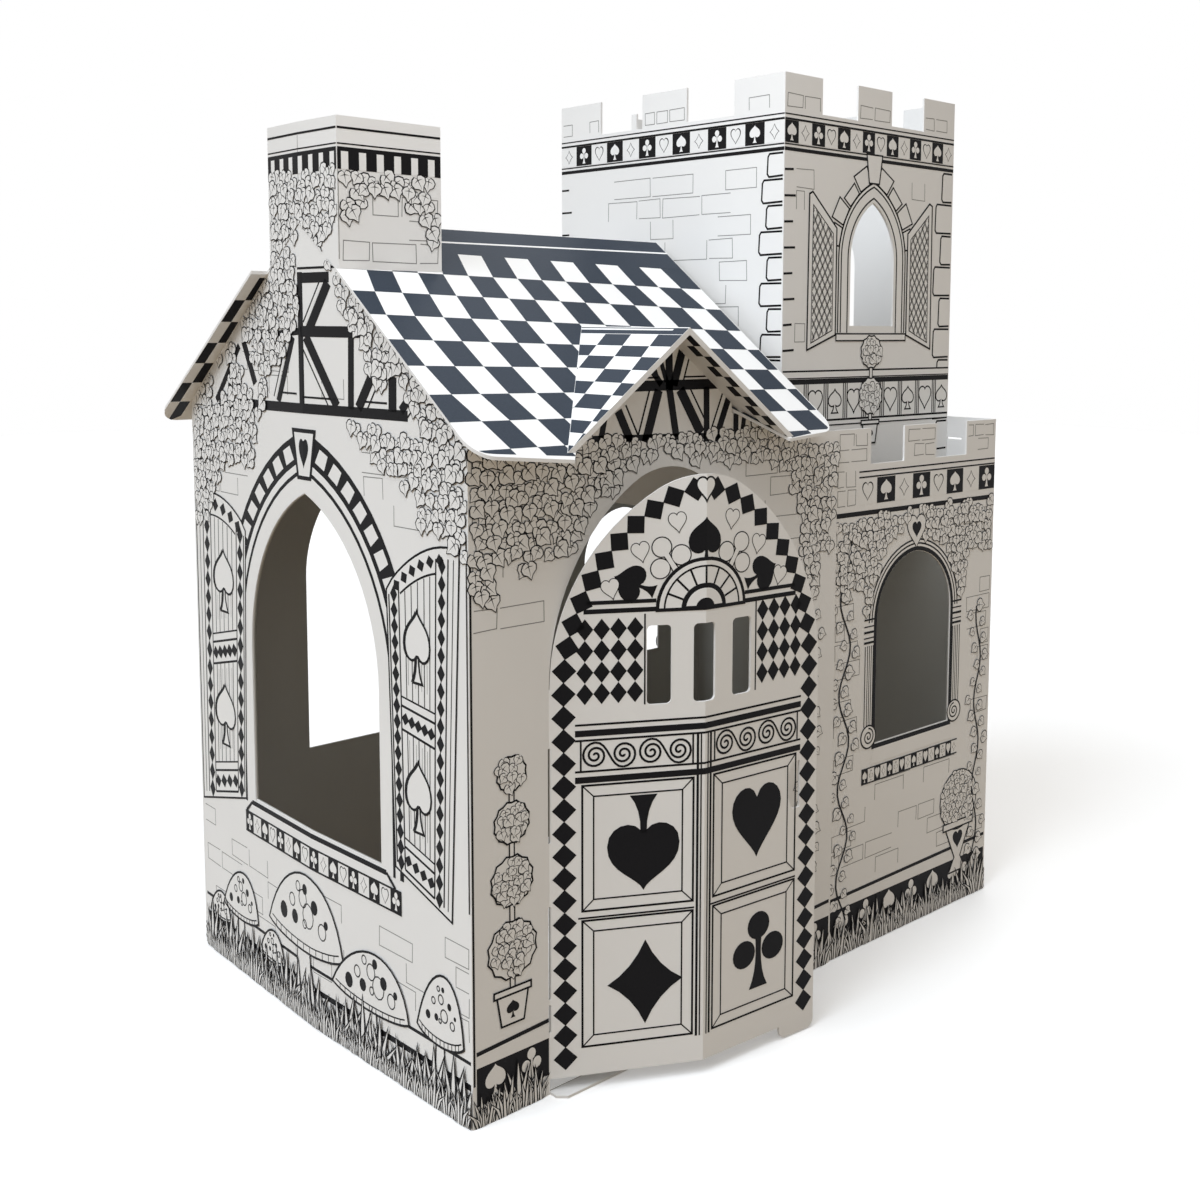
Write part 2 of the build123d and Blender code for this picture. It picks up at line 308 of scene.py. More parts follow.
BOARD = BoardFinish("white_board", (0.89, 0.885, 0.875), (0.84, 0.835, 0.825))
INK = InkFinish("black_ink", (0.006, 0.006, 0.007), (0.012, 0.011, 0.012))
# The roof's black ink, lightened to blue-grey by a painted sheen for its glare; its lower roughness adds real
# gloss.
SLATE = InkFinish("slate_ink", (0.024, 0.033, 0.048), (0.042, 0.054, 0.074), 0.38)
GREY = InkFinish("fine_line_ink", (0.20, 0.20, 0.195), (0.30, 0.30, 0.29))


# Sheets and drawings


def show(made: bpy.types.Object) -> None:
    """Put an object into the scene."""
    bpy.context.scene.collection.objects.link(made)


@dataclass
class Sheet:
    """One face of the card, as a flat drawing board that can be folded back into place."""

    name: str
    knots: list[tuple[float, Vector]]
    up: Vector
    outward: Vector

    def normal(self, index: int) -> Vector:
        """The outward normal between two neighbouring knots."""
        along = self.knots[index + 1][1] - self.knots[index][1]
        side = along.cross(self.up).normalized()
        return side if side.dot(self.outward) > 0 else -side

    def place(self, u: float, v: float, lift: float) -> Vector:
        """Fold one point of the drawing into place.

        Args:
            u: Its distance along the sheet.
            v: Its distance up the sheet.
            lift: Its height above the card.

        Returns:
            The point, in millimetres from the castle's floor corner.
        """
        last = len(self.knots) - 2
        index = 0
        while index < last and u > self.knots[index + 1][0] + 1e-6:
            index += 1
        (u0, p0), (u1, p1) = self.knots[index], self.knots[index + 1]
        normal = self.normal(index)
        if index < last and abs(u - u1) < 1e-4:
            normal = (normal + self.normal(index + 1)).normalized()
        return p0 + (p1 - p0) * ((u - u0) / (u1 - u0)) + self.up * v + normal * lift


def flat(name: str, corner: Sequence[float], along: Sequence[float], up: Sequence[float],
         outward: Sequence[float], length: float = 1000.0) -> Sheet:
    """A sheet with no crease, from the corner where u and v are nought and its directions."""
    start, step = Vector(corner), Vector(along).normalized() * length
    return Sheet(name, [(0.0, start), (length, start + step)], Vector(up).normalized(), Vector(outward))


class Drawing:
    """Printed shapes on one sheet, kept flat until they are folded into place."""

    def __init__(self, sheet: Sheet) -> None:
        """Start an empty drawing."""
        self.sheet = sheet
        self.points: list[tuple[float, float, float]] = []
        self.faces: list[tuple[list[int], int]] = []

    def add(self, corners: Iterable[tuple[float, float, float]], tone: Tone) -> None:
        """Add one filled outline, from its corners with their lifts."""
        start = len(self.points)
        self.points += corners
        self.faces.append((list(range(start, len(self.points))), int(tone)))

    def fill(self, loop: Iterable[Point], layer: float, tone: Tone = Tone.INK) -> None:
        """Add one filled outline above a number of layers."""
        lift = FIRST_LIFT + layer * LIFT_STEP
        self.add([(u, v, lift) for u, v in loop], tone)

    def box(self, u0: float, v0: float, u1: float, v1: float, layer: float, tone: Tone = Tone.INK) -> None:
        """Add a filled rectangle between two corners."""
        self.fill(rectangle(u0, v0, u1, v1), layer, tone)

    def line(self, path: Sequence[Point], width: float, layer: float, tone: Tone = Tone.INK,
             closed: bool = False) -> None:
        """Add a line of even width with mitred corners.

        Args:
            path: The points that its middle runs through.
            width: Its width.
            layer: Its layer, counted from the card.
            tone: What it is printed with.
            closed: Whether it returns to its start.
        """
        pts = [Vector(p) for p in path]
        if closed and (pts[0] - pts[-1]).length < 1e-6:
            pts.pop()
        n = len(pts)
        if n < 2:
            return
        lift = FIRST_LIFT + layer * LIFT_STEP
        start = len(self.points)
        for i, p in enumerate(pts):
            a = (p - pts[i - 1]).normalized() if i or closed else None
            b = (pts[(i + 1) % n] - p).normalized() if i < n - 1 or closed else None
            run = (a + b) if a is not None and b is not None else (a if a is not None else b)
            if run.length < 1e-6:
                run = a
            run = run.normalized()
            side = Vector((-run.y, run.x))
            stretch = 1.0
            if a is not None and b is not None:
                stretch = min(2.5, 1 / max(0.2, abs(side.dot(Vector((-a.y, a.x))))))
            for sign in (1, -1):
                q = p + side * (sign * width / 2 * stretch)
                self.points.append((q.x, q.y, lift))
        for i in range(n if closed else n - 1):
            j = (i + 1) % n
            quad = [start + 2 * i + 1, start + 2 * j + 1, start + 2 * j, start + 2 * i]
            self.faces.append((quad, int(tone)))

    def level(self, u0: float, u1: float, v: float, width: float, layer: float) -> None:
        """Add a level line at the height v."""
        self.line([(u0, v), (u1, v)], width, layer)

    def upright(self, u: float, v0: float, v1: float, width: float, layer: float,
                tone: Tone = Tone.INK) -> None:
        """Add an upright line at the place u."""
        self.line([(u, v0), (u, v1)], width, layer, tone)

    def strip(self, inner: Sequence[Point], outer: Sequence[Point], layer: float,
              tone: Tone = Tone.INK) -> None:
        """Fill the space between two lines with equally many points."""
        for a, b, c, e in zip(inner, inner[1:], outer[1:], outer):
            self.fill([a, b, c, e], layer, tone)

    def outline(self, loop: Sequence[Point], width: float, layer: float) -> None:
        """Fill a loop with paper and ink its edge."""
        self.fill(loop, layer, Tone.PAPER)
        self.line(loop, width, layer + 1, closed=True)

    def add_mesh(self, mesh: bpy.types.Mesh) -> None:
        """Take over the faces of a flat mesh whose tone is a face attribute."""
        start = len(self.points)
        tones = mesh.attributes["tone"]
        self.points += [tuple(v.co) for v in mesh.vertices]
        for i, polygon in enumerate(mesh.polygons):
            self.faces.append(([start + k for k in polygon.vertices], int(tones.data[i].value)))

    def flat_mesh(self) -> tuple[bmesh.types.BMesh, bmesh.types.BMLayerItem]:
        """The drawing as flat triangles, and the layer that holds each point's lift."""
        bm = bmesh.new()
        lifts = bm.verts.layers.float.new("lift")
        verts = []
        for u, v, lift in self.points:
            vert = bm.verts.new((u, v, 0))
            vert[lifts] = lift
            verts.append(vert)
        for corners, tone in self.faces:
            try:
                bm.faces.new([verts[k] for k in corners]).material_index = tone
            except ValueError:
                continue
        bmesh.ops.triangulate(bm, faces=bm.faces[:])
        return bm, lifts

    def fold(self, origin: Vector, materials: Sequence[Material], slot: str) -> bpy.types.Object:
        """Fold the drawing into place as one mesh that rides on the castle.

        Args:
            origin: The castle's floor corner, in metres.
            materials: One for each tone.
            slot: The record's material slot; not used.

        Returns:
            The finished piece.
        """
        bm, lifts = self.flat_mesh()
        for u, _ in self.sheet.knots[1:-1]:
            bmesh.ops.bisect_plane(bm, geom=bm.verts[:] + bm.edges[:] + bm.faces[:], dist=1e-5,
                                   plane_co=(u, 0, 0), plane_no=(1, 0, 0))
        slivers = [f for f in bm.faces if f.calc_area() < 1e-3]
        bmesh.ops.delete(bm, geom=slivers, context="FACES_ONLY")
        loose = [v for v in bm.verts if not v.link_faces]
        bmesh.ops.delete(bm, geom=loose, context="VERTS")
        for vert in bm.verts:
            vert.co = self.sheet.place(vert.co.x, vert.co.y, vert[lifts]) * MM + origin
        bm.normal_update()
        turned = [f for f in bm.faces if f.normal.dot(self.sheet.outward) < 0]
        bmesh.ops.reverse_faces(bm, faces=turned)
        mesh = bpy.data.meshes.new(self.sheet.name + "_print")
        bm.to_mesh(mesh)
        bm.free()
        for material in materials:
            mesh.materials.append(material)
        piece = bpy.data.objects.new(self.sheet.name + "_print", mesh)
        show(piece)
        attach(piece, "root")
        log.info("%s: %d triangles", piece.name, len(mesh.polygons))
        return piece


# Outlines


def rectangle(u0: float, v0: float, u1: float, v1: float) -> Loop:
    """The corners of an upright rectangle."""
    return [(u0, v0), (u1, v0), (u1, v1), (u0, v1)]


def lozenge(u: float, v: float, wide: float, tall: float) -> Loop:
    """The corners of a lozenge about its middle."""
    return [(u, v - tall / 2), (u + wide / 2, v), (u, v + tall / 2), (u - wide / 2, v)]


def mirrored(loop: Sequence[Point]) -> Loop:
    """The other half of a shape, in reverse order."""
    return [(-u, v) for u, v in reversed(loop)]


def edges(loop: Sequence[Point]) -> Iterable[tuple[Point, Point]]:
    """Each corner of a loop with the next one."""
    return zip(loop, [*loop[1:], *loop[:1]])


def extent(loop: Sequence[Point]) -> tuple[Point, Point]:
    """The lower left and the upper right corner of the rectangle round a loop."""
    us, vs = [p[0] for p in loop], [p[1] for p in loop]
    return (min(us), min(vs)), (max(us), max(vs))


def holds(loop: Sequence[Point], u: float, v: float) -> bool:
    """Whether a point lies inside a loop."""
    inside = False
    for (u0, v0), (u1, v1) in edges(loop):
        if (v0 > v) != (v1 > v) and u < (u1 - u0) * (v - v0) / (v1 - v0) + u0:
            inside = not inside
    return inside


def around(cu: float, cv: float, way: int, radius: float, angle: float) -> Point:
    """A point on a circle by its angle in radians, which starts at greater u if way is 1, at less if -1."""
    return (cu + way * radius * cos(angle), cv + radius * sin(angle))


def arc(cu: float, cv: float, radius: float, start: float, end: float, steps: int = 16) -> Loop:
    """Points on an arc about (cu, cv), between two angles in degrees."""
    turns = [radians(start + (end - start) * i / steps) for i in range(steps + 1)]
    return [around(cu, cv, 1, radius, turn) for turn in turns]


def curve(*corners: Point, steps: int = 8) -> Loop:
    """Points on a Bezier curve of any degree through its first and last corner."""
    made = []
    for i in range(steps + 1):
        row = [Vector(c) for c in corners]
        while len(row) > 1:
            row = [a.lerp(b, i / steps) for a, b in zip(row, row[1:])]
        made.append((row[0].x, row[0].y))
    return made


def spiral(u: float, v: float, radius: float, turns: float, start: float, way: int = 1) -> Loop:
    """A spiral from its outer end to its middle.

    Args:
        u: Its middle along the sheet.
        v: Its middle up the sheet.
        radius: Its outer radius.
        turns: How often it goes round.
        start: The angle of its outer end, in degrees.
        way: +1 if it turns to the left, -1 if to the right.

    Returns:
        The points in order.
    """
    steps = int(turns * 18)
    made = []
    for i in range(steps + 1):
        angle = radians(start) + way * 2 * pi * turns * i / steps
        made.append(around(u, v, 1, radius * (1 - i / steps * 0.92), angle))
    return made


def moved(loop: Iterable[Point], u: float, v: float, size: float | Point = 1.0, turn: float = 0.0) -> Loop:
    """Scale a loop, turn it by an angle in degrees and move its origin to (u, v)."""
    su, sv = (size, size) if isinstance(size, (int, float)) else size
    c, s = cos(radians(turn)), sin(radians(turn))
    return [(u + c * x * su - s * y * sv, v + s * x * su + c * y * sv) for x, y in loop]


def heart() -> list[Loop]:
    """A heart one unit high."""
    half = curve((0, -0.5), (0.08, -0.30), (0.46, -0.06), (0.46, 0.22), steps=8)
    half += curve((0.46, 0.22), (0.46, 0.50), (0.10, 0.62), (0, 0.34), steps=7)[1:]
    return [half + mirrored(half[1:-1])]


def spade() -> list[Loop]:
    """A spade one unit high: its leaf and its foot."""
    half = curve((0, 0.5), (0.06, 0.36), (0.42, 0.30), (0.42, 0.02), steps=8)
    half += curve((0.42, 0.02), (0.42, -0.20), (0.14, -0.26), (0.03, -0.13), steps=6)[1:]
    foot = curve((0.035, -0.1), (0.03, -0.36), (0.16, -0.5), steps=4)
    return [half + mirrored(half[1:]), foot + mirrored(foot)]


def diamond() -> list[Loop]:
    """A diamond one unit high with hollow sides."""
    side = curve((0, 0.5), (0.14, 0.16), (0.42, 0), steps=4)
    side += [(x, -y) for x, y in reversed(side[:-1])]
    return [side + mirrored(side[1:-1])]


def club() -> list[Loop]:
    """A club one unit high: three discs and a foot."""
    discs = [arc(u, v, 0.18, 0, 342, 19) for u, v in ((0, 0.32), (-0.235, -0.01), (0.235, -0.01))]
    foot = curve((0.05, 0.16), (0.035, -0.02), (0.03, -0.3), (0.15, -0.5), steps=6)
    return discs + [foot + mirrored(foot)]


PIPS = {Suit.HEART: heart, Suit.SPADE: spade, Suit.DIAMOND: diamond, Suit.CLUB: club}


def draw_pip(d: Drawing, suit: Suit, u: float, v: float, size: float | Point, tone: Tone = Tone.INK,
             layer: float = 0, turn: float = 0.0) -> None:
    """Print one filled pip about (u, v), turned by an angle in degrees."""
    for i, loop in enumerate(PIPS[suit]()):
        d.fill(moved(loop, u, v, size, turn), layer + 0.2 * i, tone)


def draw_open_pip(d: Drawing, suit: Suit, u: float, v: float, size: float, width: float,
                  layer: float = 0, turn: float = 0.0) -> None:
    """Print a pip about (u, v) as a line round bare paper, turned by an angle in degrees."""
    for loop in PIPS[suit]():
        d.line(moved(loop, u, v, size, turn), 2 * width, layer, closed=True)
    draw_pip(d, suit, u, v, size, Tone.PAPER, layer + 1, turn)


@dataclass(frozen=True)
class Arch:
    """A pointed opening."""

    centre: float
    width: float
    sill: float
    springing: float
    rise: float

    @property
    def radius(self) -> float:
        """The radius of the two sides of its head."""
        half = self.width / 2
        return (half**2 + self.rise**2) / (2 * half)

    @property
    def reach(self) -> float:
        """How far the centre of each side lies beyond the middle."""
        return self.radius - self.width / 2

    def head(self, grow: float = 0.0, steps: int = 14) -> Loop:
        """The curve from the right springing over the crown to the left one, moved out by grow."""
        sweep = degrees(acos(self.reach / (self.radius + grow)))
        right = arc(self.centre - self.reach, self.springing, self.radius + grow, 0, sweep, steps)
        left = [(2 * self.centre - u, v) for u, v in reversed(right[:-1])]
        return right + left

    def frame(self, grow: float, foot: float) -> Loop:
        """The head with straight jambs down to a foot, moved out by grow."""
        half = self.width / 2 + grow
        return [(self.centre + half, foot)] + self.head(grow) + [(self.centre - half, foot)]

    def surround(self, inner: float, outer: float, foot: float) -> tuple[Loop, Loop]:
        """Two frames with equally many points, for a strip between them down to a foot."""
        return self.frame(inner, foot), self.frame(outer, foot)

    def holds(self, u: float, v: float, grow: float = 0.0) -> bool:
        """Whether a point lies inside the opening, grown by grow."""
        half = self.width / 2
        if abs(u - self.centre) > half + grow or v < self.sill - grow:
            return False
        if v <= self.springing:
            return True
        return hypot(abs(u - self.centre) + self.radius - half, v - self.springing) <= self.radius + grow


# Repeated shapes, placed by geometry nodes


class NodeGroup:
    """A geometry-node group built one node at a time, with named inputs."""

    def __init__(self, name: str) -> None:
        """Start the group with a geometry input and output."""
        self.tree = bpy.data.node_groups.new(name, "GeometryNodeTree")
        self.ids: dict[str, str] = {}
        self.tree.interface.new_socket("Geometry", in_out="INPUT", socket_type="NodeSocketGeometry")
        self.tree.interface.new_socket("Geometry", in_out="OUTPUT", socket_type="NodeSocketGeometry")
        self.source = self.tree.nodes.new("NodeGroupInput")
        self.sink = self.tree.nodes.new("NodeGroupOutput")

    def input(self, name: str, kind: str) -> Socket:
        """Add a named input and return its socket inside the group."""
        made = self.tree.interface.new_socket(name, in_out="INPUT", socket_type=kind)
        self.ids[name] = made.identifier
        return next(s for s in self.source.outputs if s.identifier == made.identifier)

    def node(self, kind: str, settings: dict, inputs: dict, output: int | str = 0) -> Socket:
        """Add a node.

        Args:
            kind: Its type.
            settings: Its properties, set first.
            inputs: Socket name or number to a value or a socket.
            output: Which output to return.

        Returns:
            The chosen output.
        """
        made = self.tree.nodes.new(kind)
        for key, value in settings.items():
            setattr(made, key, value)
        for key, value in inputs.items():
            if isinstance(value, Socket):
                self.tree.links.new(value, made.inputs[key])
            else:
                made.inputs[key].default_value = value
        return made.outputs[output]

    def maths(self, operation: str, a: Socket | float,
              b: Socket | float) -> Socket:
        """The result of one Math node."""
        return self.node("ShaderNodeMath", {"operation": operation}, {0: a, 1: b})

    def attribute(self, name: str, kind: str) -> Socket:
        """A named attribute."""
        return self.node("GeometryNodeInputNamedAttribute", {"data_type": kind}, {"Name": name})

    def dice(self, low: Socket, high: Socket,
             seed: Socket) -> Socket:
        """A random number between two others."""
        ends = {2: low, 3: high, "Seed": seed}
        return self.node("FunctionNodeRandomValue", {"data_type": "FLOAT"}, ends, 1)


class Stamp:
    """Prints one small shape at many places of a drawing, each turned and sized a little differently."""

    group: NodeGroup | None = None

    def __init__(self, name: str, shape: Drawing) -> None:
        """Make the shape's mesh, in millimetres about its own origin."""
        mesh = bpy.data.meshes.new(name + "_shape")
        mesh.from_pydata(shape.points, [], [corners for corners, _ in shape.faces])
        tones = mesh.attributes.new("tone", "INT", "FACE")
        for slot, (_, tone) in zip(tones.data, shape.faces):
            slot.value = tone
        self.name = name
        self.shape = bpy.data.objects.new(name + "_shape", mesh)

    @classmethod
    def nodes(cls, materials: Sequence[Material]) -> NodeGroup:
        """Build the shared group once: points in, realised and inked shapes out."""
        if cls.group:
            return cls.group
        group = NodeGroup("stamp")
        shape = group.input("Shape", "NodeSocketObject")
        seed = group.input("Seed", "NodeSocketInt")
        turn = group.input("Turn", "NodeSocketFloat")
        spread = group.input("Spread", "NodeSocketFloat")
        instance = group.node("GeometryNodeObjectInfo", {}, {"Object": shape}, "Geometry")
        angle = group.dice(group.maths("MULTIPLY", turn, -1.0), turn, seed)
        total = group.maths("ADD", group.attribute("turn", "FLOAT"), angle)
        spin = group.node("ShaderNodeCombineXYZ", {}, {"Z": total})
        vary = group.dice(group.maths("SUBTRACT", 1.0, spread), group.maths("ADD", 1.0, spread), seed)
        grown = group.maths("MULTIPLY", group.attribute("size", "FLOAT"), vary)
        scale = group.node("ShaderNodeCombineXYZ", {}, {"X": grown, "Y": grown, "Z": 1.0})
        placed = group.node("GeometryNodeInstanceOnPoints", {},
                            {"Points": group.source.outputs[0], "Instance": instance,
                             "Rotation": spin, "Scale": scale})
        last = group.node("GeometryNodeRealizeInstances", {}, {0: placed})
        tone = group.attribute("tone", "INT")
        equal = {"data_type": "INT", "operation": "EQUAL"}
        for index, material in enumerate(materials):
            same = group.node("FunctionNodeCompare", equal, {2: tone, 3: index})
            last = group.node("GeometryNodeSetMaterial", {},
                              {"Geometry": last, "Selection": same, "Material": material})
        group.tree.links.new(last, group.sink.inputs[0])
        cls.group = group
        return group

    def print(self, d: Drawing, spots: Sequence[Spot], turn: float = 0.0, spread: float = 0.0,
              seed: int = 1) -> None:
        """Stamp the shape on a drawing.

        Args:
            d: Where it is printed.
            spots: For each print, u, v, extra lift in millimetres, size and turn in degrees.
            turn: The most that each print is turned further at random, in degrees.
            spread: The most that its size varies, as a part of it.
            seed: The random seed.
        """
        if not spots:
            return
        mesh = bpy.data.meshes.new(self.name + "_spots")
        mesh.from_pydata([(u, v, lift) for u, v, lift, _, _ in spots], [], [])
        sizes = mesh.attributes.new("size", "FLOAT", "POINT")
        turns = mesh.attributes.new("turn", "FLOAT", "POINT")
        for i, (_, _, _, size, angle) in enumerate(spots):
            sizes.data[i].value = size
            turns.data[i].value = radians(angle)
        carrier = bpy.data.objects.new(self.name + "_spots", mesh)
        show(carrier)
        show(self.shape)
        group = self.nodes(PRESS.materials)
        modifier = carrier.modifiers.new("stamp", "NODES")
        modifier.node_group = group.tree
        values = {"Shape": self.shape, "Seed": seed, "Turn": radians(turn), "Spread": spread}
        for key, value in values.items():
            modifier[group.ids[key]] = value
        carrier.update_tag()
        depsgraph = bpy.context.evaluated_depsgraph_get()
        made = bpy.data.meshes.new_from_object(carrier.evaluated_get(depsgraph))
        d.add_mesh(made)
        carrier.modifiers.remove(modifier)
        bpy.context.scene.collection.objects.unlink(self.shape)
        bpy.data.objects.remove(carrier)
        bpy.data.meshes.remove(made)


@dataclass
class Press:
    """The printing materials and the stamps that all sheets share."""

    materials: list[Material] = field(default_factory=list)
    leaf: Stamp | None = None
    tuft: Stamp | None = None
    square: Stamp | None = None

    def load(self) -> None:
        """Make the materials and cut the stamps."""
        self.materials = [INK.make(), BOARD.make(), SLATE.make(), GREY.make()]
        self.leaf = Stamp("ivy_leaf", leaf_shape())
        self.tuft = Stamp("grass_tuft", tuft_shape())
        self.square = Stamp("square", square_shape())


def blank() -> Drawing:
    """A drawing that belongs to no sheet."""
    return Drawing(flat("shape", (0, 0, 0), (1, 0, 0), (0, 1, 0), (0, 0, 1)))


def leaf_shape() -> Drawing:
    """An ivy leaf one unit high, tip down: inked edge, paper blade and three veins."""
    shape = blank()
    half = [(0.0, -0.56), (0.17, -0.30), (0.42, -0.14), (0.50, 0.12), (0.34, 0.34), (0.14, 0.42), (0.0, 0.26)]
    edge = half + mirrored(half[1:-1])
    shape.add([(x, y, 0.0) for x, y in edge], Tone.INK)
    shape.add([(x * 0.86, y * 0.86, 0.05) for x, y in edge], Tone.PAPER)
    for a, b in (((0, 0.24), (0, -0.40)), ((0, 0.16), (0.30, 0.10)), ((0, 0.16), (-0.30, 0.10))):
        run = (Vector(b) - Vector(a)).normalized() * 0.028
        shape.add([(a[0] - run.y, a[1] + run.x, 0.1), (a[0] + run.y, a[1] - run.x, 0.1), (*b, 0.1)], Tone.INK)
    return shape


def tuft_shape() -> Drawing:
    """A tuft of grass one unit high on its foot: curved blades of paper with an inked edge."""
    shape = blank()
    blades = ((-0.50, 0.66, 0.085), (0.46, 0.58, 0.08), (-0.24, 0.90, 0.085), (0.24, 0.80, 0.08),
              (0.02, 1.0, 0.09))
    rims = ((1.0, 1.0, 1.0, Tone.INK, 0.0), (0.46, 0.95, 0.90, Tone.PAPER, 0.05))
    for i, (lean, height, wide) in enumerate(blades):
        for share, tip_lean, tip, tone, lift in rims:
            w = wide * share
            blade = [(lean * 0.3 - w, 0), (lean * 0.3 + w, 0), (lean * 0.5 + w * 0.9, height * 0.5),
                     (lean * tip_lean, height * tip), (lean * 0.5 - w * 0.9, height * 0.5)]
            shape.add([(x, y, lift + 0.08 * i) for x, y in blade], tone)
    return shape


def square_shape() -> Drawing:
    """A square that stands on one corner, one unit high."""
    shape = blank()
    shape.add([(x, y, 0) for x, y in lozenge(0, 0, 1, 1)], Tone.INK)
    return shape


PRESS = Press()


# Motifs


def anywhere(u: float, v: float) -> bool:
    """Allow every place."""
    return True


def ivy(d: Drawing, patches: Sequence[Loop], size: float, seed: int, layer: float = 6,
        keep: Keep = anywhere) -> None:
    """Cover patches of a drawing with overlapping leaves.

    Args:
        d: Where it grows.
        patches: The outlines of the patches.
        size: A leaf's height.
        seed: The random seed.
        layer: The layer of the lowest leaves.
        keep: Says whether a leaf may sit at a place.
    """
    dice = random.Random(seed)
    step = size * 0.66
    near_by = size * 1.1
    spots: list[Spot] = []
    levels: list[tuple[float, float, int]] = []
    for patch in patches:
        (u0, v0), (u1, v1) = extent(patch)
        for row in range(int((v1 - v0) / step) + 2, -1, -1):
            v = v0 + row * step
            u = u0 - step * dice.random()
            while u < u1 + step:
                pu, pv = u + dice.uniform(-0.3, 0.3) * step, v + dice.uniform(-0.3, 0.3) * step
                u += step
                if not holds(patch, pu, pv) or not keep(pu, pv):
                    continue
                taken = {n for a, b, n in levels if abs(a - pu) < near_by and abs(b - pv) < near_by}
                level = next(n for n in range(99) if n not in taken)
                levels.append((pu, pv, level))
                spots.append((pu, pv, FIRST_LIFT + layer * LIFT_STEP + level * LEAF_LIFT, size, 0.0))
    PRESS.leaf.print(d, spots, 55, 0.18, seed)


def grass(d: Drawing, u0: float, u1: float, foot: float, height: float, seed: int, layer: float = 8) -> None:
    """A fringe of grass along the foot of a wall, between two places.

    Args:
        d: Where it is printed.
        u0: Its left end.
        u1: Its right end.
        foot: Its foot.
        height: The height of its tallest tufts.
        seed: The random seed.
        layer: Its lowest layer.
    """
    dice = random.Random(seed)
    spots = []
    u = u0 + 12
    while u < u1 - 12:
        spots.append((u, foot + dice.uniform(-1, 1), FIRST_LIFT + (layer + dice.randrange(3) * 7) * LIFT_STEP,
                      height * dice.uniform(0.55, 1.0), dice.uniform(-9, 9)))
        u += dice.uniform(0.16, 0.30) * height
    PRESS.tuft.print(d, spots, 6, 0.12, seed)


def bricks(d: Drawing, u0: float, v0: float, u1: float, v1: float, seed: int,
           keep: Keep = anywhere, share: float = 0.55,
           course: float = 34.0, length: float = 88.0) -> None:
    """Scattered thin outlines of bricks in courses.

    Args:
        d: Where they are drawn.
        u0: The left end of the courses.
        v0: The foot of the lowest course.
        u1: The right end.
        v1: The top.
        seed: The random seed.
        keep: Says whether a corner of a brick may sit at a place.
        share: How many of the bricks are drawn.
        course: The height of a course.
        length: The length of a brick.
    """
    dice = random.Random(seed)
    v, row = v0, 0
    while v + course < v1:
        u = u0 - length * (0.5 * (row % 2) + 0.2 * dice.random())
        while u < u1:
            wide = length * dice.uniform(0.6, 1.1)
            a, b = max(u0, u) + 3, min(u1, u + wide) - 3
            u += wide
            if b - a < 14 or dice.random() > share:
                continue
            low, high = v + 3, v + course - 3
            if not all(keep(p, q) for p in (a, (a + b) / 2, b) for q in (low, high)):
                continue
            lean = dice.uniform(-1.2, 1.2)
            loop = [(a, low), (b, low + lean), (b + lean, high), (a + lean, high + lean)]
            missing = dice.randrange(5)
            d.line(loop[missing:] + loop[:missing], 1.3, 0, Tone.GREY, closed=missing == 4)
        v += course
        row += 1


def suit_band(d: Drawing, u0: float, u1: float, v0: float, v1: float, count: int,
              order: Sequence[Suit], first_black: bool, layer: float = 1) -> None:
    """A row of squares with pips, by turns white on black and drawn in line on paper.

    Args:
        d: Where it is printed.
        u0: Its left end.
        u1: Its right end.
        v0: Its foot.
        v1: Its top.
        count: How many squares it has.
        order: The suits in turn.
        first_black: Whether the first square is black.
        layer: Its lowest layer.
    """
    step = (u1 - u0) / count
    tall = v1 - v0
    d.box(u0, v0, u1, v1, layer, Tone.PAPER)
    for i in range(count):
        u, v, suit = u0 + (i + 0.5) * step, (v0 + v1) / 2, order[i % len(order)]
        across, up = min(step, tall) * 0.80, tall * 0.80
        if (i % 2 == 0) == first_black:
            d.box(u - step / 2, v0, u + step / 2, v1, layer + 1)
            draw_pip(d, suit, u, v, (across, up), Tone.PAPER, layer + 2)
        else:
            draw_pip(d, suit, u, v, (across * 0.92, up * 0.92), Tone.INK, layer + 2)
            draw_pip(d, suit, u, v, (across * 0.78, up * 0.80), Tone.PAPER, layer + 3)


def chain(d: Drawing, path: Sequence[Point], pitch: float, size: float, layer: float = 4,
          skip: Callable[[Point], bool] = lambda p: False) -> None:
    """Black squares, corner to corner, along a path.

    Args:
        d: Where they are printed.
        path: The line through their middles.
        pitch: About how far apart they sit.
        size: Their diagonal.
        layer: Their layer.
        skip: Says whether a place stays bare.
    """
    pts = [Vector(p) for p in path]
    run = [0.0]
    for a, b in zip(pts, pts[1:]):
        run.append(run[-1] + (b - a).length)
    count = max(1, round(run[-1] / pitch))
    spots = []
    for i in range(count + 1):
        gone = run[-1] * i / count
        k = max(j for j in range(len(run) - 1) if run[j] <= gone + 1e-9)
        t = (gone - run[k]) / (run[k + 1] - run[k])
        p = pts[k].lerp(pts[k + 1], min(1.0, t))
        way = pts[k + 1] - pts[k]
        if not skip((p.x, p.y)):
            turn = degrees(atan2(way.y, way.x))
            spots.append((p.x, p.y, FIRST_LIFT + layer * LIFT_STEP, size, turn))
    PRESS.square.print(d, spots)


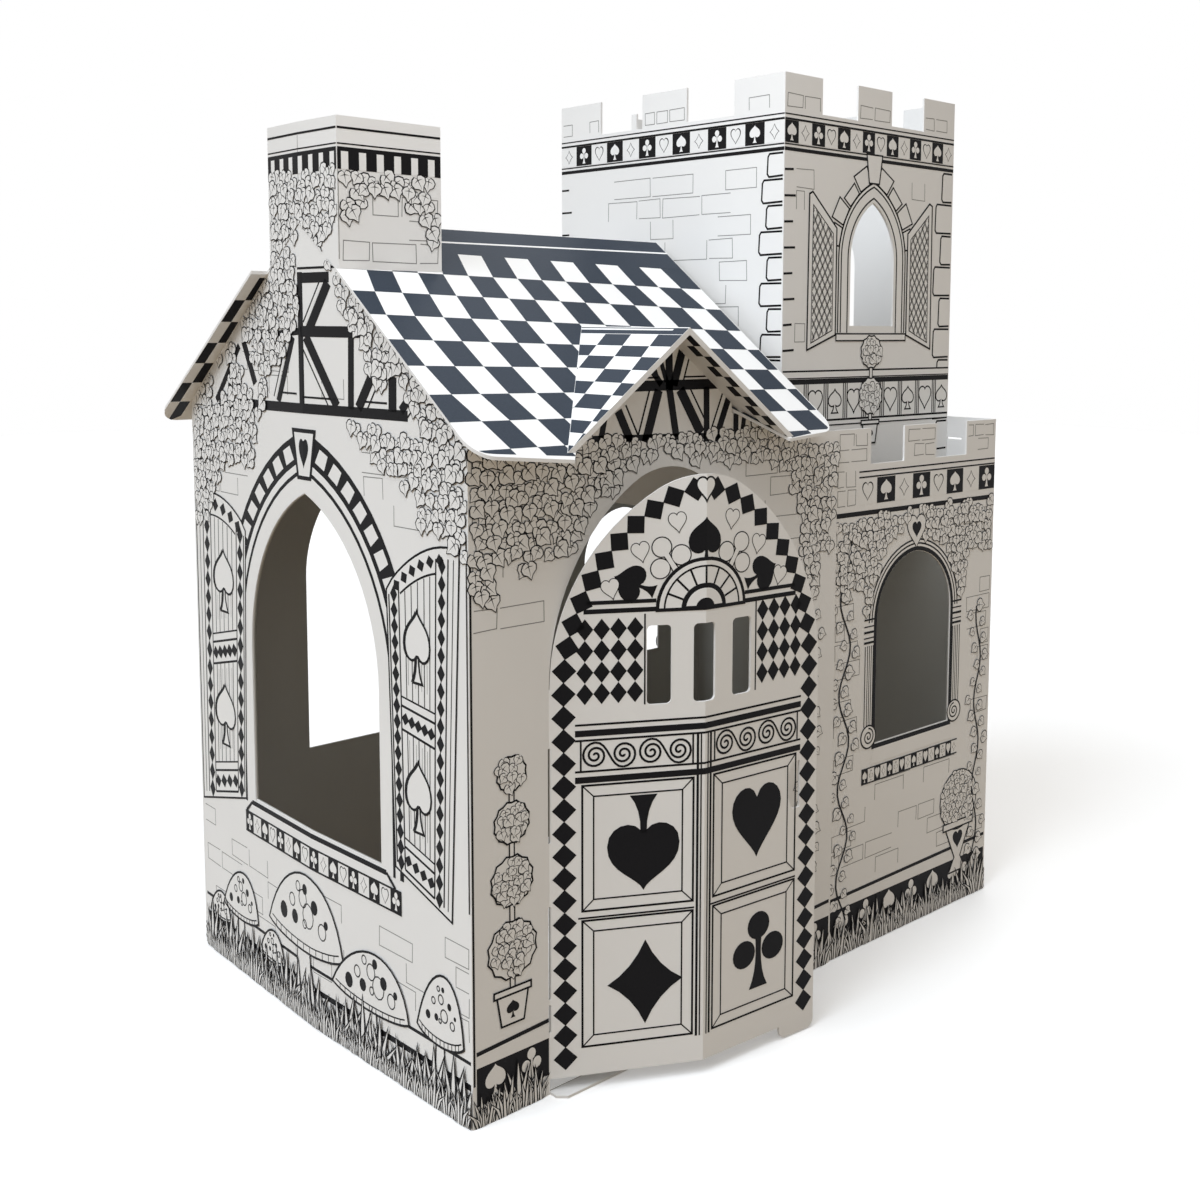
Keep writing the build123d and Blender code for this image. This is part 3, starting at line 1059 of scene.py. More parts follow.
def quoins(d: Drawing, edge: float, way: int, v0: float, v1: float, narrow: float, wide: float,
           tall: float, seed: int) -> None:
    """Corner stones along one upright edge, by turns narrow and wide.

    Args:
        d: Where they are drawn.
        edge: The corner.
        way: +1 if they reach to greater u, -1 if to less.
        v0: The lowest foot.
        v1: The top.
        narrow: The narrow stones' width.
        wide: The wide stones' width.
        tall: A stone's height.
        seed: The random seed.
    """
    dice = random.Random(seed)
    v, i = v1, 0
    while v - tall > v0:
        width = (wide if i % 2 else narrow) * dice.uniform(0.93, 1.07)
        low, far = v - tall + 2, edge + way * width
        d.fill([(edge, low), (far, low), (far, v - 2), (edge, v - 2)], 1, Tone.PAPER)
        rim = [(edge + way * 3, low + 1), (far - way * 4, low), (far, low + 5), (far - way * 1.5, v - 8),
               (far - way * 5, v - 3), (edge + way * 3, v - 3)]
        d.line(rim, 3.4, 2)
        v -= tall
        i += 1


SPOTS = ((-0.62, 0.14, 0.055, False), (-0.22, 0.26, 0.085, False), (0.24, 0.16, 0.050, True),
         (0.66, 0.12, 0.060, True), (-0.46, 0.50, 0.050, True), (0.06, 0.56, 0.062, False),
         (0.46, 0.44, 0.045, False), (-0.10, 0.80, 0.038, True), (0.30, 0.78, 0.034, False),
         (-0.82, 0.34, 0.030, True), (-0.02, 0.06, 0.030, False))


def toadstool(d: Drawing, u: float, foot: float, wide: float, tall: float, seed: int,
              layer: float = 6) -> None:
    """A spotted toadstool with gills under its rim.

    Args:
        d: Where it is drawn.
        u: The middle of its stem.
        foot: The foot of its stem.
        wide: Its cap's width.
        tall: Its height.
        seed: The random seed.
        layer: Its lowest layer.
    """
    dice = random.Random(seed)
    rim, lean = foot + tall * 0.50, wide * dice.uniform(-0.10, 0.04)
    stem = [(u - wide * 0.12, foot), (u + wide * 0.13, foot), (u + wide * 0.08, rim), (u - wide * 0.08, rim)]
    d.outline(stem, 2.6, layer)
    left, right = (u - wide / 2, rim + tall * 0.03), (u + wide / 2, rim + tall * 0.03)
    dip, crown = rim - tall * 0.08, rim + tall * 0.66
    under = curve(left, (u - wide * 0.3, dip), (u + wide * 0.3, dip), right, steps=14)
    cap = curve(left, (u - wide * 0.36 + lean, crown), (u + wide * 0.26 + lean, crown), right, steps=16)
    d.outline(cap + under[::-1][1:-1], 3.6, layer + 2)
    lip = [(x, y + tall * 0.055) for x, y in under[1:-1]]
    d.line(lip, 2.2, layer + 4)
    for low, high in zip(under[2:-2], lip[1:-1]):
        d.line([low, high], 1.5, layer + 4)
    for across, up, size, dark in SPOTS:
        up = up * 0.80 + 0.10
        reach = (1 - 0.62 * up ** 1.4) * 0.45 * wide
        pu = u + lean * up + across * reach + wide * dice.uniform(-0.02, 0.02)
        high = 0.03 + 0.46 * up + dice.uniform(-0.015, 0.015)
        pv = rim + tall * high + tall * 0.04 * (1 - across * across)
        spot = [(pu + (x - pu) * 0.85, y) for x, y in arc(pu, pv, wide * size, 0, 330, 11)]
        if dark:
            d.fill(spot, layer + 4)
        else:
            d.line(spot, 2.0, layer + 4, closed=True)


def topiary(d: Drawing, u: float, foot: float, sizes: Sequence[float], seed: int, layer: float = 5) -> None:
    """A clipped tree in a pot.

    Args:
        d: Where it is drawn.
        u: The middle of its stem.
        foot: The foot of its pot.
        sizes: The radii of its balls from the lowest up.
        seed: The random seed.
        layer: Its lowest layer.
    """
    wide = sizes[0]
    rim = top = foot + wide
    for i, radius in enumerate(sizes):
        d.outline(rectangle(u - 4, top - 4, u + 4, top + radius), 2.2, layer)
        top += radius * 0.5
        ball = [around(u, top + radius, 1, radius * (1.0 if k % 2 else 0.92), radians(15 * k))
                for k in range(24)]
        d.outline(ball, 2.6, layer + 2)
        ivy(d, [arc(u, top + radius, radius * 0.82, 0, 340, 17)], 20, seed + i, layer + 4)
        top += 2 * radius
    pot = [(u - wide * 0.45, foot), (u + wide * 0.45, foot), (u + wide * 0.62, rim), (u - wide * 0.62, rim)]
    d.outline(pot, 3.0, layer + 2)
    d.outline(rectangle(u - wide * 0.74, rim, u + wide * 0.74, foot + wide * 1.22), 3.0, layer + 4)
    draw_pip(d, Suit.SPADE, u, foot + wide * 0.5, wide * 0.6, Tone.INK, layer + 6)


def vine(d: Drawing, u: float, v0: float, v1: float, sway: float, seed: int, layer: float = 5) -> None:
    """A climbing stem with leaves on both sides.

    Args:
        d: Where it is drawn.
        u: About where it climbs.
        v0: Its foot.
        v1: Its top.
        sway: How far it swings to each side.
        seed: The random seed.
        layer: Its lowest layer.
    """
    dice = random.Random(seed)
    stem, spots = [], []
    steps = int((v1 - v0) / 16)
    for i in range(steps + 1):
        v = v0 + (v1 - v0) * i / steps
        pu = u + sway * sin(i * 0.62 + seed)
        stem.append((pu, v))
        side = 1 if i % 2 else -1
        spots.append((pu + side * dice.uniform(11, 20), v,
                      FIRST_LIFT + (layer + 1) * LIFT_STEP + (i % 5) * LEAF_LIFT,
                      dice.uniform(19, 26), side * 60.0))
    d.line(stem, 3.6, layer)
    PRESS.leaf.print(d, spots, 25, 0.15, seed)


# The castle's measures, in millimetres from its floor corner

UP = (0, 0, 1)
WALL_TOP = 944.9
WALL_FAR = 795.7
BAY_RIGHT = 1190.0
ROOF_PITCH = radians(34.5)
DORMER_PITCH = radians(36.7)
RIDGE = 1225.0
DORMER_RIDGE = 1074.0
DORMER_X = 336.0
HALF_DEPTH = 400.0
GABLE_WINDOW = Arch(400.0, 378.0, 310.0, 560.0, 265.0)
BACK_WINDOW = Arch(402.0, 400.0, 305.0, 620.0, 240.0)
BAY_WINDOW = Arch(953.0, 213.0, 357.0, 572.0, 112.0)
TOWER_WINDOW = Arch(949.85, 122.0, 1078.0, 1195.0, 100.0)
TOWER_SIDE_WINDOW = Arch(406.0, 122.0, 1078.0, 1195.0, 100.0)
DOORWAY = Arch(351.5, 443.0, 0.0, 580.0, 305.0)
BRACE_NOTCH = [(664, WALL_TOP), (664, 907.5), (730, 907.5), (730, WALL_TOP)]
HOUSE_CARD, BAY_CARD, TOWER_CARD, ROOF_CARD = "house_card", "bay_card", "tower_card", "roof_card"
HEARTS_FIRST = (Suit.HEART, Suit.SPADE, Suit.DIAMOND, Suit.CLUB)
CLUBS_FIRST = (Suit.CLUB, Suit.HEART, Suit.SPADE, Suit.DIAMOND)
Timber = tuple[Point, Point, float, int]


def wall(name: str, axis: str, at: float, outward: int) -> Sheet:
    """An upright sheet whose u is X, for a wall across the castle, or Y, for one along it."""
    if axis == "X":
        return flat(name, (0, at, 0), (1, 0, 0), UP, (0, outward, 0))
    return flat(name, (at, 0, 0), (0, 1, 0), UP, (outward, 0, 0))


def slope_sheet(name: str, ridge: Sequence[float], along: Sequence[float], down: Sequence[float]) -> Sheet:
    """A roof slope: u along the ridge, v down from it."""
    out = Vector(along).cross(Vector(down))
    return flat(name, ridge, along, down, out if out.z > 0 else -out)


@dataclass
class Printed:
    """A drawing with the outline that it is trimmed to and the outlines cut from it."""

    drawing: Drawing
    slot: str
    trim: Loop | None = None
    cuts: list[Loop] = field(default_factory=list)

    def press(self, origin: Vector) -> bpy.types.Object:
        """Cut the drawing out and fold it into place about the castle's floor corner."""
        if self.trim or self.cuts:
            self.cut_out()
        return self.drawing.fold(origin, PRESS.materials, self.slot)

    def cut_out(self) -> None:
        """Trim the drawing to its outline, which bulges everywhere, and take its cuts out of it."""
        bm, lifts = self.drawing.flat_mesh()
        for a, b in edges(self.trim or []):
            bmesh.ops.bisect_plane(bm, geom=bm.verts[:] + bm.edges[:] + bm.faces[:], dist=1e-4,
                                   plane_co=(*a, 0), plane_no=(b[1] - a[1], a[0] - b[0], 0), clear_outer=True)
        for cut in self.cuts:
            (u0, v0), (u1, v1) = extent(cut)
            for a, b in edges(cut):
                near = []
                for face in bm.faces:
                    (p0, q0), (p1, q1) = extent([vert.co[:2] for vert in face.verts])
                    if p1 > u0 and p0 < u1 and q1 > v0 and q0 < v1:
                        near.append(face)
                geom = list({v for f in near for v in f.verts}) + list({e for f in near for e in f.edges})
                bmesh.ops.bisect_plane(bm, geom=geom + near, dist=1e-4, plane_co=(*a, 0),
                                       plane_no=(b[1] - a[1], a[0] - b[0], 0))
            gone = [f for f in bm.faces if holds(cut, *f.calc_center_median()[:2])]
            bmesh.ops.delete(bm, geom=gone, context="FACES")
        index = {v: i for i, v in enumerate(bm.verts)}
        self.drawing.points = [(v.co.x, v.co.y, v[lifts]) for v in bm.verts]
        self.drawing.faces = [([index[v] for v in f.verts], f.material_index) for f in bm.faces]
        bm.free()


# What several walls share


def timber_frame(d: Drawing, timbers: Iterable[Timber], layer: float) -> None:
    """Print thick black timbers, some with a thin line beside them and paper between.

    Args:
        d: Where they are printed.
        timbers: Each one's ends, its width and +1 or -1 for the side of its thin line, or 0.
        layer: Their layer.
    """
    for start, end, width, light in timbers:
        d.line([start, end], width, layer)
        if light:
            way = (Vector(end) - Vector(start)).normalized()
            side = Vector((-way.y, way.x)) * light * (width / 2 + 5)
            a, b = Vector(start) + side, Vector(end) + side
            d.line([(a.x, a.y), (b.x, b.y)], 5.5, layer - 0.6, Tone.PAPER)
            side = side.normalized() * 4
            d.line([(a.x + side.x, a.y + side.y), (b.x + side.x, b.y + side.y)], 3.0, layer - 0.3)


def plinth(d: Drawing, u0: float, u1: float) -> None:
    """A low moulded base with black fields and white pips."""
    d.box(u0, 30, u1, 104, 2, Tone.PAPER)
    d.line([(u0, 104), (u1, 110)], 6, 3)
    d.box(u0, 30, u1, 84, 3)
    count = max(1, round((u1 - u0) / 62))
    for i in range(count):
        u = u0 + (i + 0.5) * (u1 - u0) / count
        draw_pip(d, HEARTS_FIRST[(2 * i + 1) % 4], u, 58, (40, 46), Tone.PAPER, 4)


def wedges(d: Drawing, hole: Arch, reach: float, inner: float, outer: float, turns: Iterable[float],
           spread: Sequence[float]) -> None:
    """Black joints between the stones of a pointed arch, on both sides.

    Args:
        d: Where they are printed.
        hole: The opening.
        reach: How far each side's centre lies beyond the opening's middle.
        inner: The radius of their inner ends.
        outer: The radius of their outer ends.
        turns: The joints' angles, in radians.
        spread: What is added to the angle at the four corners, inner first, in radians.
    """
    for side in (-1, 1):
        cu = hole.centre - side * reach
        for a in turns:
            ends = zip((inner, outer, outer, inner), spread)
            d.fill([around(cu, hole.springing, side, radius, a + more) for radius, more in ends], 4)


@dataclass(frozen=True)
class Shutter:
    """A planked shutter with chains of squares and two spades; its corners are those of a straight top."""

    inner_foot: Point
    outer_foot: Point
    outer_top: Point
    inner_top: Point
    layer: float = 8
    spring: float = 0.84
    crown: float = 0.155
    posts: tuple[float, ...] = (0.035, 0.18, 0.70, 0.86, 0.93)
    chains: tuple[float, ...] = (0.107, 0.78)
    rails: tuple[float, ...] = (0.055, 0.475)
    planks: tuple[float, ...] = (0.27, 0.36, 0.45, 0.54, 0.62)
    grain: tuple[float, ...] = (0.3, 0.41, 0.5, 0.58)
    pips: tuple[float, ...] = (0.27, 0.70)

    def at(self, s: float, t: float) -> Point:
        """The place a share s of the way across and t of the way up."""
        foot = Vector(self.inner_foot).lerp(Vector(self.outer_foot), s)
        place = foot.lerp(Vector(self.inner_top).lerp(Vector(self.outer_top), s), t)
        return (place.x, place.y)

    def top(self, s: float) -> float:
        """How far up its rounded top stands at a share s of the way across."""
        return self.spring + self.crown * sin(min(1.0, s / 0.86) * pi / 2) ** 0.8

    def draw(self, d: Drawing) -> None:
        """Print the shutter."""
        rim = [self.at(s / 12, self.top(s / 12)) for s in range(13)]
        d.outline([self.at(0, 0), self.at(1, 0)] + rim[::-1], 3.2, self.layer)
        wide = (Vector(self.outer_foot) - Vector(self.inner_foot)).length
        tall = (Vector(self.outer_top) - Vector(self.outer_foot)).length
        square = wide * 0.105
        for s in self.posts:
            width = 3.0 if s < self.posts[-1] else 1.8
            d.line([self.at(s, 0.02), self.at(s, self.top(s) - 0.03)], width, self.layer + 2)
        for s in self.chains:
            rise = self.top(s) - 0.05
            count = round(rise * tall / (square * 1.75))
            for i in range(count + 1):
                u, v = self.at(s, 0.03 + (rise - 0.03) * i / count)
                d.fill(lozenge(u, v, square * 1.75 * 0.66, square * 1.75), self.layer + 3)
        crown_row = [self.at(s / 20, self.top(s / 20) - 0.035) for s in range(3, 16)]
        chain(d, crown_row, square * 1.45, square * 1.25, self.layer + 3)
        d.line([self.at(s / 20, self.top(s / 20) - 0.07) for s in range(4, 15)], 3.0, self.layer + 2)
        for t in self.rails:
            for off, width in ((-0.035, 3.6), (0.035, 3.6), (0.062, 2.6)):
                d.line([self.at(0.18, t + off), self.at(0.70, t + off)], width, self.layer + 2)
            chain(d, [self.at(0.24, t), self.at(0.64, t)], square * 1.15, square * 1.25, self.layer + 3)
        for s in self.planks:
            for low, high in ((0.12, 0.44), (0.54, self.top(s) - 0.075)):
                d.line([self.at(s, low), self.at(s, high)], 1.9, self.layer + 2)
        for s in self.grain:
            for low, high in ((0.16, 0.3), (0.58, 0.66), (0.2, 0.42)):
                d.line([self.at(s, low), self.at(s, high)], 0.9, self.layer + 2, Tone.GREY)
        size = (wide * 0.50, tall * 0.195)
        for t in self.pips:
            u, v = self.at(0.44, t)
            for i, loop in enumerate(spade()):
                d.fill(moved(loop, u + wide * 0.035, v, size), self.layer + 6 - 3 * i)
                d.outline(moved(loop, u, v, size), 3.8, self.layer + 7 - 3 * i)


def chimney_bands(d: Drawing, u0: float, u1: float, count: int) -> None:
    """The chimney's thin upper line and its band of white uprights on black."""
    d.level(u0, u1, 1348.5, 3.2, 2)
    d.box(u0, 1291, u1, 1322, 2)
    d.level(u0, u1, 1326.5, 2.0, 2)
    step = (u1 - u0) / count
    for i in range(count):
        d.box(u0 + (i + 0.22) * step, 1291, u0 + (i + 0.62) * step, 1316, 3, Tone.PAPER)


# The house


@dataclass(frozen=True)
class Gable:
    """The print on the creased gable wall and on the chimney's face above it; u is the way along it."""

    crease: float = 400.0
    bow: float = 12.0
    verge_fall: float = 0.687
    voussoir_turns: tuple[float, ...] = tuple(radians(4 + k * 6.6) for k in range(1, 11))
    joint: float = radians(1.6)
    timbers: tuple[Timber, ...] = (
        ((131, 953), (690, 949), 15, 0), ((225, 1064), (404, 1064), 16, 0), ((404, 1064), (600, 1052), 10, 0),
        ((298, 1155.5), (409, 1155.5), 3.4, 0), ((322, 1141.5), (400, 1141.5), 15, 0),
        ((402, 1150), (402, 958), 15, 0), ((325, 1134), (379, 1066), 19, 1), ((388, 1057), (306, 958), 18, 1),
        ((267, 1057), (270, 956), 15, 0), ((427, 1056), (478, 958), 14, 1), ((595, 1048), (556, 982), 15, 0),
        ((251, 958), (211, 1011), 18, 1), ((166, 1004), (167, 957), 19, 0), ((147, 959), (112, 990), 14, 1),
        ((640, 1030), (650, 950), 15, 0), ((610, 1040), (700, 950), 12, 0),
        ((418, 972), (470, 972), 3.0, 0), ((310, 968), (400, 968), 3.0, 0), ((180, 968), (236, 968), 3.0, 0))
    timber_gaps: tuple[Point, ...] = ((606, 1040), (582, 1008), (557, 972), (664, 990), (700, 975))
    shutters: tuple[Shutter, ...] = (Shutter((174, 318), (42, 276), (18, 788), (190, 786)),
                                     Shutter((624, 303), (792, 262), (792, 789), (600, 830)))
    toadstools: tuple[tuple[float, ...], ...] = (
        (655, 20, 130, 150, 3, 15), (432, 10, 232, 224, 5, 15), (246, 8, 200, 162, 7, 21),
        (540, 8, 84, 100, 11, 21), (72, 8, 108, 186, 13, 15), (736, 20, 80, 92, 17, 15))

    def verge(self, u: float) -> float:
        """The height of the sloping edge above a place on the wall."""
        return WALL_TOP + (self.crease - abs(u - self.crease)) * self.verge_fall

    def clear(self, u: float, v: float) -> bool:
        """Whether a brick may stand at a place."""
        beside = (10 < u < 200 or 598 < u) and 255 < v < 800
        return not GABLE_WINDOW.holds(u, v, 92) and v < self.verge(u) - 14 and not beside

    def leafy(self, u: float, v: float) -> bool:
        """Whether ivy may grow at a place."""
        return (5 < u < 789 and v < self.verge(u) - 6
                and not any(abs(u - a) < 15 and abs(v - b) < 34 for a, b in self.timber_gaps))

    def draw_window(self, d: Drawing) -> None:
        """Print the stones round the window, its keystone and its sill."""
        d.strip(*GABLE_WINDOW.surround(50, 80, 560), 3, Tone.PAPER)
        d.strip(*GABLE_WINDOW.surround(80, 89, 560), 3)
        spread = (-self.joint * 0.7, -self.joint * 1.5, self.joint * 0.4, self.joint * 0.4)
        wedges(d, GABLE_WINDOW, 91.3, 330, 366, self.voussoir_turns, spread)
        d.strip(*GABLE_WINDOW.surround(47, 56, 300), 5)
        d.strip(*GABLE_WINDOW.surround(0.6, 47, 300), 5, Tone.PAPER)
        d.strip(*GABLE_WINDOW.surround(30, 36, 300), 7)
        d.outline([(382, 848), (418, 848), (432, 918), (368, 918)], 6, 8)
        draw_pip(d, Suit.HEART, 400, 884, (30, 44), Tone.INK, 10)
        d.fill([(176, 262), (624, 262), (602, 306), (198, 306)], 8, Tone.PAPER)
        d.level(198, 602, 302, 8, 9)
        d.line([(176, 284), (198, 302)], 5, 9)
        d.line([(624, 284), (602, 302)], 5, 9)
        suit_band(d, 161, 627, 250, 283, 17, CLUBS_FIRST, True, 9)
        d.level(161, 627, 250, 3.0, 13)
        d.level(161, 627, 283, 3.0, 13)

    def draw_garden(self, d: Drawing) -> None:
        """Print the ground lines, the toadstools, the grass and the ivy."""
        d.level(4, 600, 92, 5, 2)
        d.level(600, 792, 92, 5, 2)
        d.level(4, 792, 58, 9, 2)
        for plant in self.toadstools:
            toadstool(d, *plant)
        grass(d, 2, 793, 1, 100, 21, 27)
        grass(d, 2, 793, 1, 56, 22, 50)
        far = [(795, 735), (795, 950), (640, 1060), (412, 1212), (412, 1085), (430, 1060), (500, 1000),
               (520, 965), (545, 930), (565, 850), (620, 862), (660, 850), (716, 801), (760, 735)]
        near_top = [(0, 945), (330, 1172), (298, 1112), (275, 1062), (238, 1052), (236, 1010), (205, 988),
                    (158, 1000), (118, 968), (96, 940), (0, 925)]
        near = [(0, 945), (100, 945), (112, 925), (274, 938), (274, 919), (224, 901), (188, 876), (117, 841),
                (95, 790), (70, 800), (39, 783), (0, 772)]
        ivy(d, [far, near_top, near], 27, 31, 17, self.leafy)
        d.upright(3.5, 300, 800, 2.2, 13)

    def chimney_face(self, knots: list[tuple[float, Vector]]) -> Printed:
        """Print the chimney's face, which goes on up from the wall.

        Args:
            knots: The wall's ends and crease.

        Returns:
            The face's print.
        """
        d = Drawing(Sheet("chimney_gable", knots, Vector(UP), Vector((-1, 0, 0))))
        chimney_bands(d, 296, 496, 7)
        d.upright(self.crease, 1120, 1346, 1.0, 1, Tone.GREY)
        bricks(d, 300, 1150, 492, 1290, 8, lambda u, v: v > self.verge(u) + 6, 0.6, 32, 70)
        patch = [(496, 1130), (496, 1290), (296, 1290), (296, 1215), (330, 1200), (350, 1165), (396, 1200),
                 (410, 1120)]
        ivy(d, [patch], 26, 33, 8, lambda u, v: 304 < u < 488 and v > 1130)
        peak = (self.crease, 1219.8)
        cuts = [[(296, 1148.6), (296, 1100), (self.crease, 1100), peak],
                [peak, (self.crease, 1100), (496, 1100), (496, 1153.9)]]
        return Printed(d, HOUSE_CARD, rectangle(297, 1130, 495, 1364), cuts)

    def prints(self) -> list[Printed]:
        """Draw the wall and the chimney's face."""
        knots = [(0.0, Vector((0, 0, 0))), (self.crease, Vector((-self.bow, self.crease, 0))),
                 (WALL_FAR, Vector((0, WALL_FAR, 0)))]
        d = Drawing(Sheet("gable", knots, Vector(UP), Vector((-1, 0, 0))))
        bricks(d, 4, 84, 792, 930, 5, self.clear, 0.62)
        bricks(d, 210, 966, 600, 1050, 6, self.clear, 0.35)
        timber_frame(d, self.timbers, 2)
        self.draw_window(d)
        for one in self.shutters:
            one.draw(d)
        self.draw_garden(d)
        hull = [(1, 1), (794.5, 1), (794.5, 943.5), (400, 1218.5), (1, 943.5)]
        return [Printed(d, HOUSE_CARD, hull), self.chimney_face(knots)]


@dataclass(frozen=True)
class ChimneySides:
    """The print on the chimney's other three faces."""

    left: float = -8.5
    right: float = 163.0
    near: float = 296.0
    far: float = 496.0

    def face(self, sheet: Sheet, u0: float, u1: float, foot: float, seed: int) -> Printed:
        """Draw one face.

        Args:
            sheet: Where it is drawn.
            u0: The face's one upright edge.
            u1: Its other upright edge.
            foot: Where it meets the roof.
            seed: The random seed.

        Returns:
            Its print.
        """
        d = Drawing(sheet)
        chimney_bands(d, u0, u1, 6)
        bricks(d, u0 + 4, foot + 8, u1 - 4, 1290, seed, share=0.5, course=33, length=75)
        top = [(u0, 1290), (u1, 1290), (u1, 1180), (u1 - 22, 1176), (u1 - 38, 1230), (u1 - 70, 1262),
               (u0 + 58, 1262), (u0 + 34, 1240), (u0 + 16, 1205), (u0, 1200)]
        ivy(d, [top], 26, seed, 8, lambda u, v: u0 + 9 < u < u1 - 9 and v > foot + 12)
        if sheet.name == "chimney_near":
            d.upright(u0 + 1.2, 1166, 1290, 1.2, 1, Tone.GREY)
        return Printed(d, HOUSE_CARD, rectangle(u0 + 0.5, foot, u1 - 0.5, 1364))

    def prints(self) -> list[Printed]:
        """Draw all three faces."""
        return [self.face(wall("chimney_near", "X", self.near, -1), self.left, self.right, 1153.5, 41),
                self.face(wall("chimney_far", "X", self.far, 1), self.left, self.right, 1158.9, 42),
                self.face(wall("chimney_back", "Y", self.right, 1), self.near, self.far, 1230.0, 43)]


@dataclass(frozen=True)
class HouseFront:
    """The print round the door, with the timbers of the dormer; u is X."""

    timbers: tuple[Timber, ...] = (
        ((226, 990.5), (520, 990.5), 15, 0), ((380, 1002), (460, 1002), 2.4, 0),
        ((240, 1002), (330, 1002), 2.4, 0),
        ((350, 1060), (352, 985), 14, 0), ((352, 985), (366, 915), 13, 0), ((377, 1040), (360, 990), 15, 1),
        ((333, 1030), (346, 996), 8, -1), ((302, 1030), (336, 992), 10, 0), ((331, 984), (306, 910), 16, -1),
        ((373, 984), (416, 918), 17, 1), ((427, 986), (428, 905), 12, 0), ((478, 978), (446, 905), 12, -1),
        ((490, 968), (490, 908), 11, 0), ((512, 962), (503, 908), 9, 0), ((254, 957), (278, 912), 14, 1),
        ((238, 985), (222, 915), 10, 0), ((196, 920), (480, 912), 9, 0))

    def clear(self, u: float, v: float) -> bool:
        """Whether a brick or leaf may stand at a place."""
        return not DOORWAY.holds(u, v, 4) and not (18 < u < 116 and 120 < v < 650)

    def leafy(self, u: float, v: float) -> bool:
        """Whether ivy may grow at a place."""
        return self.clear(u, v) and not DOORWAY.holds(u, v, 13) and 6 < u and not (u > 648 and v > 892)

    def prints(self) -> list[Printed]:
        """Draw the wall."""
        d = Drawing(wall("front", "X", 0, -1))
        bricks(d, 4, 130, 664, 930, 51, self.clear, 0.5, 34, 80)
        d.upright(2.5, 60, 770, 3.2, 2)
        timber_frame(d, self.timbers, 3)
        topiary(d, 66, 128, (42, 36, 30, 25), 53, 5)
        plinth(d, 6, 128)
        plinth(d, 580, 726)
        grass(d, 3, 128, 1, 78, 55, 14)
        grass(d, 3, 128, 1, 50, 56, 17)
        grass(d, 576, 726, 1, 70, 57, 14)
        vine(d, 668, 130, 640, 9, 4, 5)
        patch = [(0, 944), (0, 722), (41, 708), (34, 752), (58, 764), (90, 742), (120, 772), (150, 752),
                 (185, 778), (221, 832), (295, 857), (420, 880), (560, 862), (614, 846), (640, 780),
                 (634, 702), (679, 628), (692, 700), (726, 720), (726, 900), (664, 903), (664, 944),
                 (543, 935), (420, 912), (300, 912), (200, 930)]
        ivy(d, [patch], 27, 58, 9, self.leafy)
        peak, top, eave = (DORMER_X, 1068.3), 1120, 944.6
        left = [(-5, eave), (191.3, eave), (191.3, 960.3), peak, (DORMER_X, top), (-5, top)]
        right = [(DORMER_X, top), peak, (480.7, 960.3), (480.7, eave), (735, eave), (735, top)]
        return [Printed(d, HOUSE_CARD, None, [BRACE_NOTCH, left, right])]


def framed_panel(d: Drawing, u0: float, v0: float, u1: float, v1: float, inset: float = 16) -> None:
    """A sunk panel: two frames with mitre lines between."""
    d.line(rectangle(u0, v0, u1, v1), 3.0, 2, closed=True)
    d.line(rectangle(u0 + inset, v0 + inset, u1 - inset, v1 - inset), 2.2, 2, closed=True)
    for a, b, su, sv in ((u0, v0, 1, 1), (u1, v0, -1, 1), (u1, v1, -1, -1), (u0, v1, 1, -1)):
        d.line([(a, b), (a + su * inset, b + sv * inset)], 1.8, 2)


def harlequin(d: Drawing, u0: float, v0: float, u1: float, v1: float, columns: int, rows: int) -> None:
    """A field of black diamonds that touch at their corners."""
    du, dv = (u1 - u0) / columns, (v1 - v0) / rows
    for i in range(columns):
        for j in range(rows):
            d.fill(lozenge(u0 + (i + 0.5) * du, v0 + (j + 0.5) * dv, du, dv), 2)


